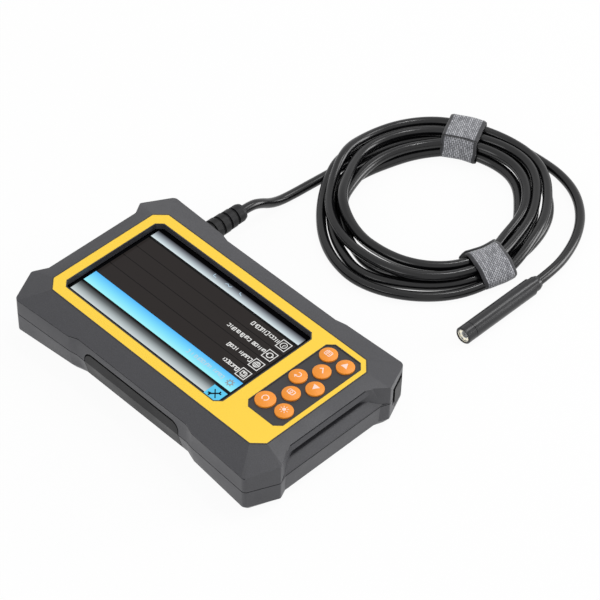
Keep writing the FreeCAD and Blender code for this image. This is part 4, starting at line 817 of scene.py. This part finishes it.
def entry_marks(start, end, middle, tall, wander):
    """A line of plain marks that stands for an entry of the menu. It spells nothing."""
    faces, right = [], start
    while right > end:
        wide = wander.uniform(0.75, 1.15)
        if wander.random() < WORD_END_CHANCE and right < start - 3:
            right -= WORD_GAP
            continue
        low = middle - tall / 2 * wander.choice((0.5, 0.55, 1.0))
        high = middle + tall / 2 * wander.choice((0.85, 0.85, 0.85, 1.1))
        shape = wander.randrange(4)
        left = right - wide
        if shape == 0:
            faces += ribbon([(left, low), (left, high), (right, high), (right, low)], MARK_LINE)
        elif shape == 1:
            faces += ribbon([(left, high), (right, high), (right, low), (left, low)], MARK_LINE)
        elif shape == 2:
            faces += ribbon([(right, low), (right, high)], 0.36)
            right += wide * 0.5
        else:
            faces += ribbon(box_points(left, low, right, high), MARK_LINE, closed=True)
        right -= wide + MARK_GAP
    return faces


def pictures_icon(x, y):
    """Two frames, one behind the other, with a peak in the front one."""
    faces = ribbon(box_points(x - 1.3, y - 0.8, x + 0.9, y + 1.3), 0.32, closed=True)
    faces += ribbon([(x - 0.7, y - 1.4), (x + 1.5, y - 1.4), (x + 1.5, y + 0.8)], 0.3)
    return faces + filled([(x - 0.9, y + 1.0), (x - 0.2, y - 0.1), (x + 0.6, y + 1.0)], 1)


def globe_icon(x, y):
    """A globe with an equator, a meridian and an oval."""
    oval = [(x + 0.75 * way.x, y + 1.5 * way.y) for way in directions(20)]
    faces = ribbon(ring_points((x, y), 1.5), 0.3, closed=True)
    faces += ribbon([(x - 1.5, y), (x + 1.5, y)], 0.26) + ribbon([(x, y - 1.5), (x, y + 1.5)], 0.26)
    return faces + ribbon(oval, 0.22, closed=True)


def loop_icon(x, y):
    """Two arrows that chase each other."""
    faces = []
    for start in (20, 200):
        faces += ribbon(ring_points((x, y), 1.35, start, start + 140, 12), 0.42)
    for side in (1, -1):
        tip = [(0.7, 0.3), (2.0, 0.3), (1.35, -0.7)]
        faces += filled([(x + side * along, y + side * up) for along, up in tip], 1)
    return faces


def clock_icon(x, y):
    """A round clock with two hands."""
    hands = [(x, y - 0.9), (x, y), (x + 0.7, y + 0.5)]
    return ribbon(ring_points((x, y), 1.5), 0.32, closed=True) + ribbon(hands, 0.3)


def spoked(centre, inner, outer, width):
    """Eight short strokes that point away from a centre."""
    return [face for way in directions(8)
            for face in ribbon([centre + way * inner, centre + way * outer], width)]


def icon_frame(x, y):
    """The square frame round a symbol of the menu."""
    corners = box_points(x - ICON_REACH, y - ICON_REACH, x + ICON_REACH, y + ICON_REACH)
    return ribbon(corners, MARK_LINE, closed=True)


def entries(wander):
    """The four entries of the menu, each with a framed symbol before it."""
    faces = []
    for (y, length), icon in zip(ROWS.items(), (pictures_icon, globe_icon, loop_icon, clock_icon)):
        faces += icon_frame(ICON_PLACE, y) + icon(ICON_PLACE, y)
        faces += entry_marks(ENTRY_START, ENTRY_START - length, y, ENTRY_HEIGHT, wander)
    return faces


def hints(wander):
    """The pale marks: the chosen entry's line, and three small marks in the lower bar."""
    faces = entry_marks(24.0, 3.0, -13.9, 1.9, wander)
    faces += ribbon([(-19.9, 23.6), (-21.6, 23.6), (-21.6, 25.0)], 0.3)
    faces += ribbon([(-4.6, 23.6), (-6.2, 24.2), (-6.2, 25.0)], 0.3)
    return faces + ribbon([(-11.2, 24.6), (-12.4, 23.8), (-13.6, 24.6), (-14.6, 23.9)], 0.3)


def gear():
    """A small gear: a ring with eight teeth."""
    centre = Vector((28.1, -13.9))
    return ribbon(ring_points(centre, 1.05), 0.5, closed=True) + spoked(centre, 1.2, 1.95, 0.5)


def crossed_tools():
    """Two crossed tools, one with an open jaw at each end."""
    centre = Vector((28.2, -22.3))
    lines = [
        ([(-1.7, -1.9), (1.5, 1.6)], 0.75),
        ([(1.9, -1.8), (-1.7, 1.7)], 0.5),
        ([(-2.6, -1.5), (-1.6, -1.2), (-1.3, -2.6)], 0.75),
        ([(1.1, 2.3), (1.2, 1.3), (2.3, 1.1)], 0.7),
    ]
    faces = []
    for points, width in lines:
        faces += ribbon([centre + Vector(p) for p in points], width)
    return faces


wander = random.Random(5)
thin_piece("screen_entries", entries(wander), level(3), LAYER, lit("screen_white", 240, 240, 238))
thin_piece("screen_hints", hints(wander), level(3), LAYER, lit("screen_pale", 186, 214, 232))
thin_piece("screen_gear", gear(), level(3), LAYER, lit("screen_stone", 150, 158, 162))
thin_piece("screen_tools", crossed_tools(), level(3), LAYER, lit("screen_ink", 12, 14, 18))

# ---------------------------------------------------------------- printed symbols of the keys

KEY_CROWN = 0.8
KEY_RADIUS, POWER_KEY_RADIUS = 3.9, 4.4
PRINT_THICKNESS = 0.06


def printed(key, radius, faces):
    """A symbol printed on a key's domed top. Its faces are in millimetres from the key's middle."""
    low, high = (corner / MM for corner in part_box(key))
    middle = (low + high) / 2
    ball = (radius ** 2 + KEY_CROWN ** 2) / (2 * KEY_CROWN)
    lowest = high.z - PRINT_THICKNESS / 2 - ball
    moved = [[(p[0] + middle.x, p[1] + middle.y) for p in face] for face in faces]
    thin_piece(key + "_symbol", moved,
               lambda x, y: lowest + math.sqrt(ball ** 2 - (x - middle.x) ** 2 - (y - middle.y) ** 2),
               PRINT_THICKNESS, MATERIALS["key_print"], key)


def strokes(points, width, closed=False, pieces=4):
    """A line in short runs, so that it follows the dome."""
    places = [Vector(p) for p in points] + ([Vector(points[0])] if closed else [])
    fine = [a.lerp(b, i / pieces) for a, b in zip(places, places[1:]) for i in range(pieces)]
    return ribbon(fine + ([] if closed else [places[-1]]), width, closed)


def arrow(points, pieces=6):
    """A filled three-cornered mark whose sides are in short runs, so that it follows the dome."""
    corners = [Vector(p) for p in points]
    return filled([a.lerp(b, i / pieces) for a, b in zip(corners, corners[1:] + corners[:1])
                   for i in range(pieces)], 4)


def power_symbol():
    """A ring with one gap."""
    return ribbon(ring_points((0, 0), 1.4, -75, 255), 0.46)


def light_symbol():
    """A lamp's disc with eight rays."""
    rays = [face for way in directions(8) for face in strokes([way * 1.25, way * 1.9], 0.3, pieces=2)]
    return filled(ring_points((0, 0), 0.85, count=16), 2) + rays


def photo_symbol():
    """A camera: its body, its lens and its release."""
    faces = strokes(box_points(-1.6, -1.0, 1.6, 1.1, 0.3), 0.36, True)
    faces += ribbon(ring_points((0, 0.05), 0.6, count=16), 0.32, True)
    return faces + strokes([(-0.5, -1.25), (0.5, -1.25)], 0.3)


def back_symbol():
    """An arrow that turns back."""
    return ribbon(ring_points((0.1, 0.15), 1.15, -100, 130, 18), 0.42) + arrow(
        [(-0.2, -1.9), (-0.2, -0.25), (-1.35, -1.0)], 3)


def menu_symbol():
    """A frame with two lines across it and one down it."""
    faces = strokes(box_points(-1.5, -1.25, 1.5, 1.25, 0.35), 0.34, True)
    for height in (-0.35, 0.45):
        faces += strokes([(-1.3, height), (1.3, height)], 0.3)
    return faces + strokes([(-0.4, -1.1), (-0.4, 1.1)], 0.3)


SYMBOLS = {
    "key_power": power_symbol(),
    "key_light": light_symbol(),
    "key_photo": photo_symbol(),
    "key_back": back_symbol(),
    "key_up": arrow([(0, -1.6), (1.6, 1.2), (-1.6, 1.2)]),
    "key_ok": strokes([(-1.3, 0.1), (-0.35, 1.05), (1.4, -1.0)], 0.5),
    "key_menu": menu_symbol(),
    "key_down": arrow([(0, 1.6), (-1.6, -1.2), (1.6, -1.2)]),
}
for key, faces in SYMBOLS.items():
    printed(key, POWER_KEY_RADIUS if key == "key_power" else KEY_RADIUS, faces)

# ---------------------------------------------------------------- light, floor and background

WHITE = (1, 1, 1, 1)
WORLD_LIGHT, FLOOR_WHITE = 0.63, 0.94  # the surround's strength, and the share of plain white in the floor
FLOOR_REACH, FLOOR_DROP, FLOOR_GREY = 4.0, 0.0002, 0.88
LAMP_AIM = Vector((0, 0.05, 0.01))
LAMPS = {  # place, size and power
    "top_light": ((0.25, 1.0, 1.15), 0.4, 2.8),
    "streak_light": ((0.05, 0.5, 1.5), 0.14, 3.2),
    "side_light": ((0.9, 1.4, 0.4), 0.8, 13.0),
    "front_light": ((0.1, -1.5, 0.6), 0.8, 6.0),
}


def seen_directly(tree):
    """1 where the camera, a mirror or clear glass looks, and 0 for the light that is thrown on things."""
    path = tree.nodes.new("ShaderNodeLightPath")
    seen = path.outputs["Is Camera Ray"]
    for ray in ("Is Glossy Ray", "Is Transmission Ray"):
        either = tree.nodes.new("ShaderNodeMath")
        either.operation = "MAXIMUM"
        tree.links.new(seen, either.inputs[0])
        tree.links.new(path.outputs[ray], either.inputs[1])
        seen = either.outputs[0]
    return seen


def mix_into(tree, share, plain, white, output):
    """Gives the output the plain shader, and that share of the white one."""
    choice = tree.nodes.new("ShaderNodeMixShader")
    for source, socket in zip((share, plain.outputs[0], white.outputs[0]), choice.inputs):
        tree.links.new(source, socket)
    tree.links.new(choice.outputs[0], tree.nodes[output].inputs["Surface"])


def make_world():
    """An even studio surround, pure white in view."""
    world = bpy.data.worlds.new("studio")
    SCENE.world = world
    world.use_nodes = True
    tree = world.node_tree
    soft = tree.nodes["Background"]
    set_inputs(soft, {"Color": WHITE, "Strength": WORLD_LIGHT})
    white = tree.nodes.new("ShaderNodeBackground")
    set_inputs(white, {"Color": WHITE, "Strength": 1.0})
    mix_into(tree, seen_directly(tree), soft, white, "World Output")


def make_floor():
    """A plain pale floor, nearly white in view, that keeps a soft shadow."""
    material, tree, main = shader("floor_white")
    set_inputs(main, {"Base Color": (FLOOR_GREY, FLOOR_GREY, FLOOR_GREY, 1), "Roughness": 0.9,
                      "Specular IOR Level": 0.0})
    glow = tree.nodes.new("ShaderNodeEmission")
    set_inputs(glow, {"Color": WHITE, "Strength": 1.0})
    share = tree.nodes.new("ShaderNodeMath")
    share.operation, share.inputs[1].default_value = "MULTIPLY", FLOOR_WHITE
    tree.links.new(seen_directly(tree), share.inputs[0])
    mix_into(tree, share.outputs[0], main, glow, "Material Output")
    mesh = bmesh.new()
    bmesh.ops.create_grid(mesh, x_segments=8, y_segments=8, size=FLOOR_REACH)
    floor = piece_of(mesh, "floor", material)
    floor.location.z = -FLOOR_DROP


def make_lamp(name, place, size, power):
    """A soft square lamp."""
    data = bpy.data.lights.new(name, "AREA")
    data.shape, data.size, data.energy = "SQUARE", size, power
    lamp = bpy.data.objects.new(name, data)
    lamp.location = place
    lamp.rotation_euler = (LAMP_AIM - Vector(place)).to_track_quat("-Z", "Y").to_euler()
    SCENE.collection.objects.link(lamp)


make_world()
make_floor()
for name, (place, size, power) in LAMPS.items():
    make_lamp(name, place, size, power)
SCENE.view_settings.view_transform = "Standard"

# ---------------------------------------------------------------- the length of the cable's line

line_length(cable)

bpy.context.view_layer.update()
